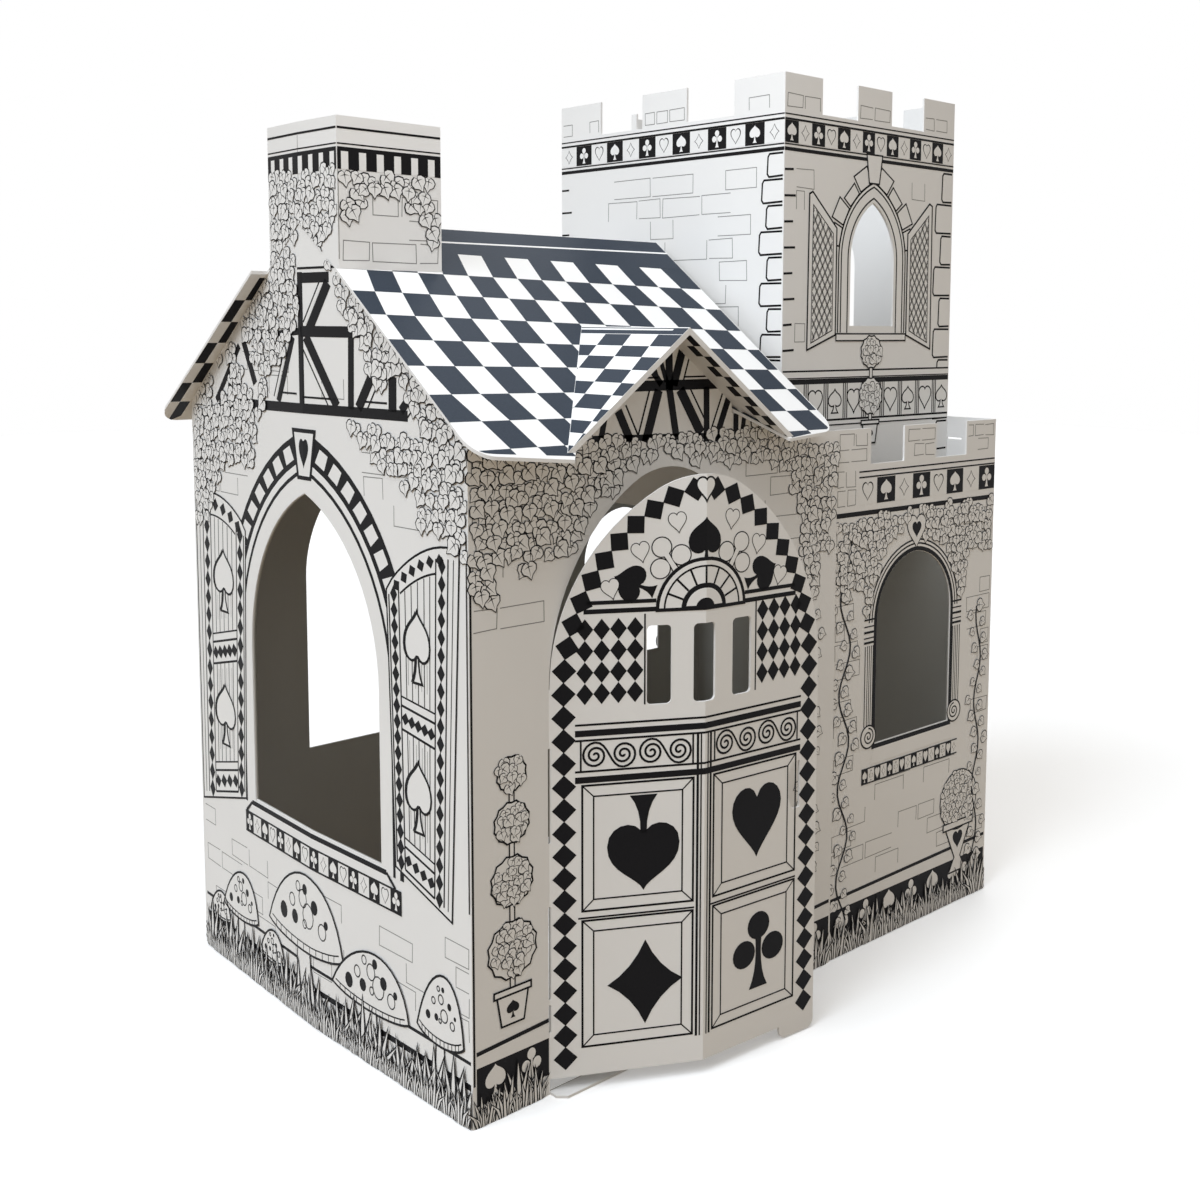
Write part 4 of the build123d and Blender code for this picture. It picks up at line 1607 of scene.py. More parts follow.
@dataclass(frozen=True)
class Door:
    """The print on the folded door; u runs from its hinge over its crease to its free edge."""

    hinge: float = 130.0
    half: float = 221.5
    swing: float = radians(29.5)
    back_swing: float = radians(4.6)
    inset: float = 20.0
    springing: float = 580.0
    side_radius: float = 320.74
    top_radius: float = 130.0
    top_centre: float = 742.9
    meeting: float = 121.35
    fan_foot: float = 684.0

    def sheet(self) -> Sheet:
        """The leaf, swung out at its hinge and bent back at its crease."""
        hinge = Vector((self.hinge, 0, 0))
        crease = hinge + Vector((cos(self.swing), -sin(self.swing), 0)) * self.half
        edge = crease + Vector((cos(self.back_swing), -sin(self.back_swing), 0)) * self.half
        return Sheet("door", [(0.0, hinge), (self.half, crease), (2 * self.half, edge)], Vector(UP),
                     Vector((-0.4, -1, 0)))

    def draw_border(self, d: Drawing) -> None:
        """Print the chain of squares inside the door's edge, with a heart at its top."""
        far = 2 * self.half
        side = self.side_radius - self.inset
        path = [(self.inset + 2, 50), (self.inset, self.springing)]
        path += arc(self.side_radius, self.springing, side, 180, self.meeting, 12)[1:]
        path += arc(self.half, self.top_centre, self.top_radius - self.inset, self.meeting,
                    180 - self.meeting, 8)[1:]
        path += arc(far - self.side_radius, self.springing, side, 180 - self.meeting, 0, 12)[1:]
        path += [(far - self.inset - 2, 50)]
        chain(d, path, 32.6, 34, 2, lambda p: abs(p[0] - self.half) < 15 and p[1] > 800)
        draw_open_pip(d, Suit.HEART, self.half, 852, 30, 2.6, 2)

    def draw_head(self, d: Drawing) -> None:
        """Print the pips and the fan under the arch, and the checks beside the spy slots."""
        draw_pip(d, Suit.SPADE, self.half, 776, (62, 74), Tone.INK, 2)
        for u, turn in ((170, 32), (273, -32)):
            draw_open_pip(d, Suit.CLUB, u, 752, 74, 1.7, 2, turn)
        for u, turn in ((119, 68), (324, -68)):
            draw_pip(d, Suit.SPADE, u, 722, (62, 62), Tone.INK, 2, turn)
        for u, v, turn in ((86, 716, 14), (128, 766, 12), (180, 806, 8), (268, 806, -8), (318, 766, -12),
                           (360, 716, -14)):
            draw_open_pip(d, Suit.HEART, u, v, 27, 1.2, 2, turn)
        d.outline(arc(self.half, self.fan_foot, 70, 0, 180, 24), 5, 5)
        d.line(arc(self.half, self.fan_foot, 60, 0, 180, 24), 2.6, 7)
        d.fill(arc(self.half, self.fan_foot, 36, 0, 180, 18), 7)
        d.fill(arc(self.half, self.fan_foot, 29, 8, 172, 18), 8, Tone.PAPER)
        for k in range(1, 8):
            a = radians(22.5 * k)
            d.line([around(self.half, self.fan_foot, 1, 36, a), around(self.half, self.fan_foot, 1, 60, a)],
                   3.0, 8)
        d.fill(arc(self.half, self.fan_foot, 15, 0, 180, 12), 9)
        for u0, u1 in ((52, 150), (293, 391)):
            d.level(u0, u1, 698, 5.5, 2)
            d.level(u0 - 4, u1 + 2, 686, 6.5, 2)
        harlequin(d, 38, 556, 132, 676, 4, 4)
        harlequin(d, 317, 560, 405, 684, 4, 4)
        d.upright(134, 552, 680, 2.4, 2)
        d.upright(315, 552, 684, 2.4, 2)

    def draw_scrolls(self, d: Drawing) -> None:
        """Print the band of linked scrolls."""
        for v, width in ((528, 3.0), (516, 9.0), (450, 9.0), (462, 3.0), (506, 3.0)):
            d.level(36, 407, v, width, 2)
        for left, right in ((40, 208), (235, 404)):
            frame = [(left + 4, 462), (left + 4, 506), (right - 4, 506), (right - 4, 462)]
            d.line(frame, 2.6, 3, closed=True)
            step = (right - left - 8) / 4
            for i in range(4):
                u = left + 4 + (i + 0.5) * step
                d.line(spiral(u, 484, 18.5, 2.2, 270 if i % 2 else 90), 3.2, 4)
                if i % 2 == 0:
                    link = curve((u, 502.5), (u + step * 0.5, 503), (u + step * 0.5, 465), (u + step, 465.5))
                    d.line(link, 3.0, 4)

    def draw_panels(self, d: Drawing) -> None:
        """Print the lines of the crease and the four framed suits."""
        for u, width in ((211, 3.5), (216, 2.0), (227, 2.0), (232, 3.5)):
            d.upright(u, 60, 506, width, 3)
        for u0, u1 in ((46, 205), (238, 398)):
            framed_panel(d, u0, 262, u1, 442)
            framed_panel(d, u0, 64, u1, 248)
            d.level(u0 - 6, u1 + 2, 252, 2.6, 2)
        for loop in spade():
            d.fill(moved(loop, 133, 354, (124, -138)), 3)
        draw_pip(d, Suit.HEART, 321, 355, (104, 108), Tone.INK, 3)
        draw_pip(d, Suit.DIAMOND, 136, 150, (130, 124), Tone.INK, 3)
        draw_pip(d, Suit.CLUB, 327, 158, (120, 116), Tone.INK, 3)

    def prints(self) -> list[Printed]:
        """Draw the door."""
        d = Drawing(self.sheet())
        self.draw_border(d)
        self.draw_head(d)
        self.draw_scrolls(d)
        self.draw_panels(d)
        return [Printed(d, HOUSE_CARD)]


@dataclass(frozen=True)
class HouseBack:
    """The print on the back wall of the house; u is X."""

    joint_turns: tuple[float, ...] = tuple(radians(2 + k * 6.8) for k in range(10))
    toadstools: tuple[tuple[float, ...], ...] = ((120, 8, 120, 140, 93, 8), (610, 8, 150, 170, 94, 8))

    def clear(self, u: float, v: float) -> bool:
        """Whether a brick may stand at a place."""
        return not BACK_WINDOW.holds(u, v, 90)

    def leafy(self, u: float, v: float) -> bool:
        """Whether ivy may grow at a place."""
        return not BACK_WINDOW.holds(u, v, 96) and 7 < u < 722 and not (u > 648 and v > 892)

    def prints(self) -> list[Printed]:
        """Draw the wall."""
        d = Drawing(wall("house_back", "X", 800, 1))
        hole = BACK_WINDOW
        bricks(d, 6, 120, 722, 900, 91, self.clear, 0.5, 35, 88)
        d.strip(*hole.surround(44, 72, 620), 3, Tone.PAPER)
        d.strip(*hole.surround(72, 80, 620), 3)
        spread = (0, -0.012, 0.014, 0.01)
        wedges(d, hole, hole.reach, hole.radius + 44, hole.radius + 78, self.joint_turns, spread)
        d.strip(*hole.surround(42, 50, 296), 5)
        d.strip(*hole.surround(0.6, 42, 296), 5, Tone.PAPER)
        d.strip(*hole.surround(27, 32, 296), 7)
        d.level(190, 614, 300, 7, 7)
        suit_band(d, 150, 654, 250, 283, 18, CLUBS_FIRST, True, 8)
        d.level(150, 654, 250, 3, 12)
        d.level(150, 654, 283, 3, 12)
        plinth(d, 6, 724)
        for plant in self.toadstools:
            toadstool(d, *plant)
        grass(d, 3, 727, 1, 80, 95, 16)
        grass(d, 3, 727, 1, 50, 96, 19)
        patch = [(0, 944), (0, 700), (60, 740), (110, 800), (160, 858), (300, 898), (402, 925), (520, 895),
                 (640, 850), (690, 760), (726, 700), (726, 904), (664, 904), (664, 944)]
        ivy(d, [patch], 27, 97, 12, self.leafy)
        return [Printed(d, HOUSE_CARD, rectangle(1, 1, 729, 943.5), [BRACE_NOTCH])]


# The bay


def urn(d: Drawing, u: float, foot: float, wide: float, seed: int, layer: float = 8) -> None:
    """A stone urn with a rounded bush."""
    right = [(0.28, 0.0), (0.10, 0.3), (0.42, 0.95)]
    profile = [(-right[0][0], right[0][1])] + right + mirrored(right[1:])
    d.outline(moved(profile, u, foot, wide), 3, layer)
    draw_pip(d, Suit.HEART, u, foot + wide * 0.66, wide * 0.36, Tone.INK, layer + 2)
    d.outline(arc(u, foot + wide * 1.5, wide * 0.62, 0, 345, 23), 2.6, layer)
    ivy(d, [arc(u, foot + wide * 1.5, wide * 0.56, 0, 340, 17)], 21, seed, layer + 2)
    d.outline(rectangle(u - wide * 0.5, foot + wide * 0.92, u + wide * 0.5, foot + wide * 1.06), 3, layer + 6)


@dataclass(frozen=True)
class BayWall:
    """The print on the bay's front or back wall; u is X."""

    name: str
    at: float
    outward: int
    seed: int
    merlon: float = 92.0
    hole: Arch = BAY_WINDOW
    capital: tuple[Point, ...] = ((578, 3), (566, 2.2), (556, 4), (546, 2.2), (538, 4))
    flutes: tuple[float, ...] = (9, 14, 19, 24, 30)

    def clear(self, u: float, v: float) -> bool:
        """Whether a brick may stand at a place."""
        return not self.hole.holds(u, v, 34)

    def leafy(self, u: float, v: float) -> bool:
        """Whether ivy may grow at a place."""
        return not self.hole.holds(u, v, 26) and 738 < u < 1182 and abs(u - 953) + abs(v - 722) > 40

    def draw_top(self, d: Drawing) -> None:
        """Print the battlements' bricks, the band of suits and the bricks of the wall."""
        for i in range(3):
            u0 = 730 + 2 * i * self.merlon
            bricks(d, u0 + 2, 850, u0 + self.merlon - 2, 904, self.seed + i, share=0.9, course=26, length=46)
        bricks(d, 734, 120, 1186, 750, self.seed + 4, self.clear, 0.5, 33, 80)
        d.level(792, 1189, 834, 2.6, 2)
        d.level(792, 1189, 824.5, 2.6, 2)
        suit_band(d, 790, 1189, 778, 822, 8, HEARTS_FIRST, False, 1)
        d.line([(702, 764), (1189, 762)], 8, 2)
        bricks(d, 734, 776, 786, 842, self.seed + 8, share=0.9, course=32, length=50)

    def draw_window(self, d: Drawing) -> None:
        """Print the window's frame, its fluted columns, its scrolls and its sill."""
        d.strip(*self.hole.surround(0.6, 19, 372), 3, Tone.PAPER)
        d.strip(*self.hole.surround(19, 22, 572), 4)
        d.strip(*self.hole.surround(12, 15, 572), 4)
        d.strip(*self.hole.surround(0.6, 8, 352), 5)
        for side in (-1, 1):
            edge = self.hole.centre + side * self.hole.width / 2
            for v, width in self.capital:
                d.level(edge + side * 2, edge + side * 34, v, width, 6)
            d.box(edge + side * 9, 372, edge + side * 30, 530, 5, Tone.PAPER)
            for off in self.flutes:
                d.upright(edge + side * off, 390, 532, 2.0, 6)
            d.outline(arc(edge + side * 18, 372, 20, 0, 345, 23), 2.8, 7)
            d.line(spiral(edge + side * 18, 372, 15, 1.9, 90, side), 2.6, 9)
        draw_open_pip(d, Suit.HEART, self.hole.centre, 719, 56, 1.8, 9)
        draw_pip(d, Suit.HEART, self.hole.centre, 722, 28, Tone.INK, 12)
        d.fill([(836, 322), (1070, 322), (1062, 350), (844, 350)], 6, Tone.PAPER)
        d.level(838, 1068, 352, 8, 7)
        suit_band(d, 812, 1090, 290, 315, 16, (Suit.SPADE, Suit.CLUB, Suit.HEART, Suit.DIAMOND), True, 6)
        d.level(812, 1090, 290, 2.4, 10)
        d.level(812, 1090, 316, 2.4, 10)

    def draw_garden(self, d: Drawing) -> None:
        """Print the base, the vines, the urn, the grass and the ivy."""
        plinth(d, 734, 1186)
        vine(d, 762, 60, 720, 14, 2, 11)
        vine(d, 1150, 60, 560, 9, 5, 11)
        urn(d, 1100, 60, 92, self.seed + 6)
        grass(d, 733, 1187, 1, 84, self.seed + 9, 16)
        grass(d, 733, 1187, 1, 54, self.seed + 10, 19)
        patch = [(702, 758), (1188, 758), (1188, 640), (1160, 664), (1128, 672), (1102, 650), (1092, 578),
                 (1062, 606), (1050, 640), (1010, 694), (964, 706), (919, 736), (866, 690), (836, 640),
                 (822, 575), (806, 640), (773, 619), (745, 640), (735, 560), (702, 700)]
        ivy(d, [patch], 25, self.seed + 11, 12, self.leafy)

    def prints(self) -> list[Printed]:
        """Draw the wall."""
        d = Drawing(wall(self.name, "X", self.at, self.outward))
        self.draw_top(d)
        self.draw_window(d)
        self.draw_garden(d)
        return [Printed(d, BAY_CARD, rectangle(731, 1, 1189, 906))]


@dataclass(frozen=True)
class BayEnd:
    """The print on the bay's right wall, under and beside the tower; u is Y."""

    near: float = 5.0
    far: float = 795.0

    def prints(self) -> list[Printed]:
        """Draw the wall."""
        d = Drawing(wall("bay_right", "Y", 1190, 1))
        bricks(d, 8, 120, 792, 760, 81, share=0.42, course=35, length=92)
        bricks(d, 8, 836, 792, 904, 82, share=0.4, course=32, length=80)
        d.level(self.near, self.far, 832, 2.6, 2)
        d.level(self.near, self.far, 824.5, 2.6, 2)
        suit_band(d, self.near, self.far, 778, 822, 16, HEARTS_FIRST, False, 1)
        d.level(self.near, self.far, 763, 8, 2)
        plinth(d, 8, 792)
        grass(d, 6, 794, 1, 84, 83, 10)
        grass(d, 6, 794, 1, 54, 84, 13)
        patch = [(5, 757), (795, 757), (795, 600), (760, 640), (700, 700), (560, 716), (430, 690), (300, 722),
                 (160, 690), (90, 640), (40, 560), (5, 600)]
        ivy(d, [patch], 26, 85, 8, lambda u, v: 12 < u < 788)
        return [Printed(d, BAY_CARD, rectangle(self.near, 1, self.far, 906))]


# The tower


@dataclass(frozen=True)
class TowerWall:
    """What the tower's four walls share."""

    name: str
    at: float
    outward: int
    seed: int
    window: bool
    foot: float = 800.0
    course: float = 43.0
    first_course: float = 1336.0

    def draw_top(self, d: Drawing, u0: float, u1: float, count: int, order: Sequence[Suit]) -> None:
        """Print the battlements' bricks and the band of suits between its lines.

        Args:
            d: Where they are printed.
            u0: The wall's one edge.
            u1: Its other edge.
            count: How many squares the band has.
            order: The suits in turn.
        """
        step = (u1 - u0) / 5
        for i in range(3):
            bricks(d, u0 + 2 * i * step + 3, 1436, u0 + (2 * i + 1) * step - 3, 1490, self.seed + i,
                   share=0.85, course=27, length=50)
        u0, u1 = u0 + 0.5, u1 - 0.5
        suit_band(d, u0, u1, 1380.5, 1417, count, order, order[0] is Suit.SPADE, 1)
        for v, width, layer in ((1378, 2.2, 5), (1370, 6, 2), (1419, 3.4, 5), (1427, 2.2, 2)):
            d.level(u0, u1, v, width, layer)

    def draw_joints(self, d: Drawing, edge: float, way: int, reach: tuple[float, float], width: float,
                    rise: float) -> None:
        """Print the short joints of the corner stones that turn in from the next wall.

        Args:
            d: Where they are printed.
            edge: The wall's edge.
            way: +1 if they reach to greater u, -1 if to less.
            reach: The lengths of every other one.
            width: Their width.
            rise: How far they rise on the way.
        """
        v, i = self.first_course, 0
        while v > self.foot:
            d.line([(edge, v), (edge + way * reach[i % 2], v + rise)], width, 2)
            v, i = v - self.course, i + 1

    def draw_window(self, d: Drawing, hole: Arch) -> None:
        """Print the window's pointed frame, its stones, its lattice shutters and its sill."""
        c = hole.centre
        d.strip(*hole.surround(0.6, 31, 1066), 3, Tone.PAPER)
        for grow in (6, 24, 31):
            d.strip(*hole.surround(grow, grow + 3, 1066), 4)
        for side in (-1, 1):
            for k in range(4):
                a0, a1 = radians(8 + 15 * k), radians(21 + 15 * k)
                inner, outer = hole.radius + 34, hole.radius + (66 if k % 2 else 56)
                corners = ((inner, a0), (outer, a0), (outer, a1), (inner, a1))
                stone = [around(c - side * hole.reach, hole.springing, side, r, a) for r, a in corners]
                d.outline(stone, 2.8, 3)
            near, far = c + side * 100, c + side * 174
            leaf = [(near, 1062), (far, 1036), (far - side * 2, 1300), (far - side * 10, 1304), (near, 1246)]
            d.outline(leaf, 3.2, 6)
            glass = [(near + side * 9, 1070), (far - side * 10, 1048), (far - side * 12, 1282),
                     (near + side * 9, 1236)]
            d.line(glass, 1.8, 8, closed=True)
            lattice(d, glass)
        crown = hole.springing + hole.rise
        low, high = crown + 34, crown + 84
        d.outline([(c - 14, low), (c + 14, low), (c + 22, high), (c - 22, high)], 3, 9)
        d.box(c - 98, 1052, c + 98, 1064, 9, Tone.PAPER)
        d.line(rectangle(c - 98, 1052, c + 98, 1064), 2.6, 10, closed=True)


def lattice(d: Drawing, loop: Loop) -> None:
    """Crossed slats inside an outline with four sides."""
    (u0, v0), (u1, v1) = extent(loop)
    climb = (u1 - u0) * 1.6
    for way in (1, -1):
        v = v0 - climb
        while v < v1:
            a, b = ((u0, v), (u1, v + climb)) if way > 0 else ((u1, v), (u0, v + climb))
            slat = [(a[0] + (b[0] - a[0]) * t / 24, a[1] + (b[1] - a[1]) * t / 24) for t in range(25)]
            slat = [p for p in slat if holds(loop, *p)]
            if len(slat) > 1:
                for off in (-1.8, 1.8):
                    d.line([(slat[0][0], slat[0][1] + off), (slat[-1][0], slat[-1][1] + off)], 1.2, 8)
            v += 22


def balustrade(d: Drawing, u0: float, u1: float) -> None:
    """A low parapet with suits between posts."""
    d.box(u0, 905, u1, 1000, 3, Tone.PAPER)
    for v, width in ((1000, 3.0), (982, 9.0), (988, 2.0), (914, 3.6), (905, 2.4)):
        d.level(u0, u1, v, width, 4)
    count = round((u1 - u0) / 52)
    step = (u1 - u0) / count
    for i in range(count):
        u = u0 + i * step
        for off in (3, 8, 13):
            d.upright(u + off, 916, 978, 2.6, 4)
        draw_open_pip(d, (Suit.SPADE, Suit.HEART)[i % 2], u + 32, 946, 38, 2.6, 4)


@dataclass(frozen=True)
class TowerSide(TowerWall):
    """The print on the tower's left or right wall; u is Y."""

    near: float = 112.0
    far: float = 700.0

    def clear(self, u: float, v: float) -> bool:
        """Whether a brick may stand at a place."""
        return not (self.window and TOWER_SIDE_WINDOW.holds(u, v, 44)) and 172 < u < 664

    def prints(self) -> list[Printed]:
        """Draw the wall."""
        d = Drawing(wall(self.name, "Y", self.at, self.outward))
        self.draw_top(d, self.near, self.far, 13, (Suit.DIAMOND, Suit.SPADE, Suit.HEART, Suit.CLUB))
        bricks(d, 160, self.foot, 680, 1362, self.seed + 4, self.clear, 0.62, 39, 104)
        quoins(d, self.near, 1, self.foot, 1366, 38, 53, 43, self.seed)
        self.draw_joints(d, 699, -1, (22, 30), 3.4, 0.0)
        if self.window:
            self.draw_window(d, TOWER_SIDE_WINDOW)
            balustrade(d, 130, 682)
        return [Printed(d, TOWER_CARD, rectangle(self.near + 0.5, 791, self.far - 0.5, 1493))]


@dataclass(frozen=True)
class TowerFront(TowerWall):
    """The print on the tower's front or back wall; u is X."""

    left: float = 714.0
    right: float = 1185.7

    def clear(self, u: float, v: float) -> bool:
        """Whether a brick may stand at a place."""
        shut = 776 < u < 1124 and 1030 < v < 1306 or abs(u - 950) < 104
        return not (self.window and shut) and 738 < u < 1144

    def prints(self) -> list[Printed]:
        """Draw the wall."""
        d = Drawing(wall(self.name, "X", self.at, self.outward))
        self.draw_top(d, self.left, self.right, 14, (Suit.SPADE, Suit.DIAMOND, Suit.CLUB, Suit.HEART))
        low = 1010 if self.window else self.foot
        bricks(d, 742, low, 1146, 1362, self.seed + 4, self.clear, 0.72, 37, 58)
        self.draw_joints(d, 715, 1, (22, 28), 3.8, 1.5)
        quoins(d, 1185, -1, self.foot, 1366, 36, 52, 58, self.seed)
        if self.window:
            self.draw_window(d, TOWER_WINDOW)
            balustrade(d, 716, 1184)
            topiary(d, 950, 868, (34, 30), self.seed + 3, 11)
        return [Printed(d, TOWER_CARD, rectangle(self.left + 0.5, 791, self.right - 0.5, 1493))]


# The roofs


@dataclass(frozen=True)
class MainRoof:
    rows_left: tuple[float, ...] = (67, 128, 184, 242, 301, 361, 424, 482, 540, 600)
    rows_right: tuple[float, ...] = (90, 151, 213, 276, 331, 387, 440, 496, 545, 600)
    stations: tuple[float, ...] = (67, 127, 183, 243, 302, 361, 423, 480, 560)
    first: tuple[float, ...] = (57, 35, 20, 8, 5.5, 6, 11, 24, 38)
    pitch: tuple[float, ...] = (40.2, 41.5, 43.5, 44.7, 44.8, 45, 44.5, 43.5, 43)
    fan: float = 0.33
    columns: int = 15
    eave_run: float = 452.0
    droop: float = 19.0
    corner_radius: float = 33.0
    right_edge: float = 689.0
    right_eave: float = 663.4
    front_left: float = -25.4
    back_left: float = -35.4
    dormer_run: float = 504.0

    def at(self, values: tuple[float, ...], s: float) -> float:
        """Read a value at a distance down the slope."""
        k = max(0, min(len(self.stations) - 2, sum(1 for p in self.stations[1:] if p <= s)))
        a, b = self.stations[k], self.stations[k + 1]
        return values[k] + (values[k + 1] - values[k]) * (s - a) / (b - a)

    def corner(self, column: int, row: int) -> Point:
        """The corner above and left of one check."""
        left, right = self.rows_left[row], self.rows_right[row]
        n = column - 1
        s = (left + right) / 2
        for _ in range(4):
            u = self.at(self.first, s) + self.at(self.pitch, s) * n + self.fan * n * n
            s = left + (right - left) * (u - 20) / 620
        return (u, s)

    def draw_checks(self, d: Drawing) -> None:
        """Print the dark ridge with its thin line and the checks below it."""
        # The ridge and the checks are black print, drawn in the roof ink with its painted sheen.
        d.box(-30, 0.5, 700, 90, 0, Tone.SLATE)
        d.fill([(-30, 88), (700, 88), (700, 152), (-30, 92)], 0, Tone.SLATE)
        d.fill([(-30, 40), (700, 35), (700, 39.5), (-30, 44.5)], 1, Tone.PAPER)
        for row in range(len(self.rows_left) - 1):
            for column in range(self.columns):
                loop = [self.corner(column, row), self.corner(column + 1, row),
                        self.corner(column + 1, row + 1), self.corner(column, row + 1)]
                if column == 0:
                    loop[0], loop[3] = (-40, loop[0][1]), (-40, loop[3][1])
                if column == self.columns - 1:
                    loop[1], loop[2] = (720, loop[1][1]), (720, loop[2][1])
                if (row + column) % 2 == 0:
                    d.fill(loop, 1, Tone.SLATE)
                elif row == 0:
                    d.fill(loop, 1, Tone.PAPER)

    def slope(self, name: str, way: int) -> Printed:
        """Draw one slope.

        Args:
            name: Its name.
            way: -1 for the front slope, +1 for the back one.

        Returns:
            Its print.
        """
        c, t = cos(ROOF_PITCH), tan(ROOF_PITCH)
        d = Drawing(slope_sheet(name, (0, HALF_DEPTH, RIDGE), (1, 0, 0), (0, way * c, -sin(ROOF_PITCH))))
        self.draw_checks(d)
        front = way < 0
        foot, radius = self.eave_run / c, self.corner_radius
        drop = self.droop / c if front else 0.0
        left = self.front_left if front else self.back_left
        trim = [(-9 if front else left, 1.2), (self.right_edge, 1.2), (self.right_eave, foot - 34)]
        trim += arc(self.right_eave - radius, foot - radius, radius, 0, 90, 6)[1:]
        trim += [(549, foot + drop / 2), (123, foot + drop)]
        trim += arc(left + radius, foot - radius, radius, 90, 180, 6)
        chimney_foot = (105.5 if front else 97.5) / c
        cuts = [rectangle(-60, -4, 164.5, chimney_foot)]
        if front:
            half = (DORMER_RIDGE - CARD / c - (RIDGE - self.dormer_run * t)) / tan(DORMER_PITCH) - 8
            back = self.dormer_run - half * tan(DORMER_PITCH) / t
            cuts.append([(DORMER_X - half, self.dormer_run / c), (DORMER_X, back / c),
                         (DORMER_X + half, self.dormer_run / c)])
        else:
            cuts.append(rectangle(-60, 110, -9.6, 126.8))
            cuts.append([(-60, 120), (-20, 126.2), (-36, 145.6), (-60, 146)])
        return Printed(d, ROOF_CARD, trim, cuts)

    def flap_under(self) -> Printed:
        """Draw the checks under the back slope's side flap."""
        c, s = cos(ROOF_PITCH), sin(ROOF_PITCH)
        d = Drawing(flat("hem", (0, HALF_DEPTH, RIDGE - CARD / c), (1, 0, 0), (0, c, -s), (0, -s, -c)))
        d.fill([(-36, 126), (-10, 126), (-1, 540), (-36, 540)], 0, Tone.PAPER)
        for i in range(7):
            v, (u0, u1) = 135 + 58.8 * i, ((-19, 0), (-36, -19))[i % 2]
            d.box(u0, v, u1, v + 58.8, 1)
        trim = [(-35.4, 146), (-20, 127), (-10, 127), (-1.2, 485), (-1.2, 534), (-14, 547), (-25, 536),
                (-35.4, 512)]
        return Printed(d, ROOF_CARD, trim)


    def prints(self) -> list[Printed]:
        """Draw both slopes and what shows of them from below."""
        return [self.slope("roof_front", -1), self.slope("roof_back", 1), self.flap_under()]


@dataclass(frozen=True)
class DormerRoof:
    rows: tuple[float, ...] = (18, 45, 70, 99, 128, 155, 185, 210, 235, 260, 285)
    check: float = 57.0
    pair: float = 115.0
    lean: float = 5.5
    front: float = -58.5
    hem: float = 29.0
    hem_check: float = 25.0

    def slope(self, name: str, way: int) -> Printed:
        """Draw one slope.

        Args:
            name: Its name.
            way: -1 for the left slope, +1 for the right one.

        Returns:
            Its print.
        """
        c, s = cos(DORMER_PITCH), sin(DORMER_PITCH)
        d = Drawing(slope_sheet(name, (DORMER_X, 0, DORMER_RIDGE), (0, 1, 0), (way * c, 0, -s)))
        d.box(-59, 0.3, 190, 18, 0, Tone.PAPER)
        # The band and the checks are black print, drawn in the roof ink with its painted sheen.
        d.box(-59, 2.0, 190, 17, 1, Tone.SLATE)
        d.box(-30, 4.5, 190, 8, 2, Tone.PAPER)
        for i, (s0, s1) in enumerate(zip(self.rows, self.rows[1:])):
            shift = -66 + self.pair / 2 * (i % 2) - self.lean * i
            for k in range(-2, 6):
                y0 = shift + self.pair * k
                y1 = y0 + self.check
                d.fill([(y0, s0), (y1, s0), (y1 - self.lean, s1), (y0 - self.lean, s1)],
                       1, Tone.SLATE)
        back = (DORMER_RIDGE - RIDGE) / tan(ROOF_PITCH) + HALF_DEPTH - 1.5
        low = (back - self.front) * tan(ROOF_PITCH) / s
        return Printed(d, ROOF_CARD, [(self.front, 0.4), (back, 0.4), (self.front, low)])

    def edge_under(self, name: str, way: int) -> Printed:
        """Draw the checks under one slope's front edge.

        Args:
            name: Its name.
            way: -1 for the left slope, +1 for the right one.

        Returns:
            Its print.
        """
        c, s = cos(DORMER_PITCH), sin(DORMER_PITCH)
        d = Drawing(flat(name, (DORMER_X, 0, DORMER_RIDGE - 2 * CARD / c), (0, 1, 0), (way * c, 0, -s),
                         (-way * s, 0, -c)))
        for i in range(11):
            v, u = 2.5 + self.hem_check * i, self.front + self.hem / 2 * (i % 2)
            d.box(u, v, u + self.hem / 2, v + self.hem_check, 1)
        inner = self.front + self.hem
        return Printed(d, ROOF_CARD, [(self.front, 2.5), (inner, 2.5), (inner, 250), (self.front, 262)])

    def prints(self) -> list[Printed]:
        """Draw both slopes and what shows of them from below."""
        return [self.slope("dormer_left", -1), self.slope("dormer_right", 1),
                self.edge_under("dormer_edge_left", -1), self.edge_under("dormer_edge_right", 1)]


# The camera and the studio


@dataclass(frozen=True)
class Viewpoint:
    """The camera where the photograph was taken, from the castle's floor corner, in metres and degrees."""

    place: tuple[float, float, float] = (-1.0321, -1.4860, 1.0767)
    yaw: float = 44.236
    pitch: float = -5.67
    roll: float = 0.419
    lens: float = 42.114
    shift: tuple[float, float] = (-0.0833, -0.1126)

    def stand(self, origin: Vector) -> None:
        """Stand the camera there."""
        data = bpy.data.cameras.new("camera")
        data.sensor_width, data.lens = 36.0, self.lens
        data.shift_x, data.shift_y = self.shift
        data.clip_start, data.clip_end = 0.05, 60.0
        yaw, pitch, roll = radians(self.yaw), radians(self.pitch), radians(self.roll)
        forward = Vector((sin(yaw) * cos(pitch), cos(yaw) * cos(pitch), sin(pitch)))
        right = Vector((cos(yaw), -sin(yaw), 0))
        up = right.cross(forward)
        right, up = right * cos(roll) + up * sin(roll), up * cos(roll) - right * sin(roll)
        turn = Matrix((right, up, -forward)).transposed().to_4x4()
        made = bpy.data.objects.new("camera", data)
        made.matrix_world = Matrix.Translation(origin + Vector(self.place)) @ turn
        show(made)
        bpy.context.scene.camera = made


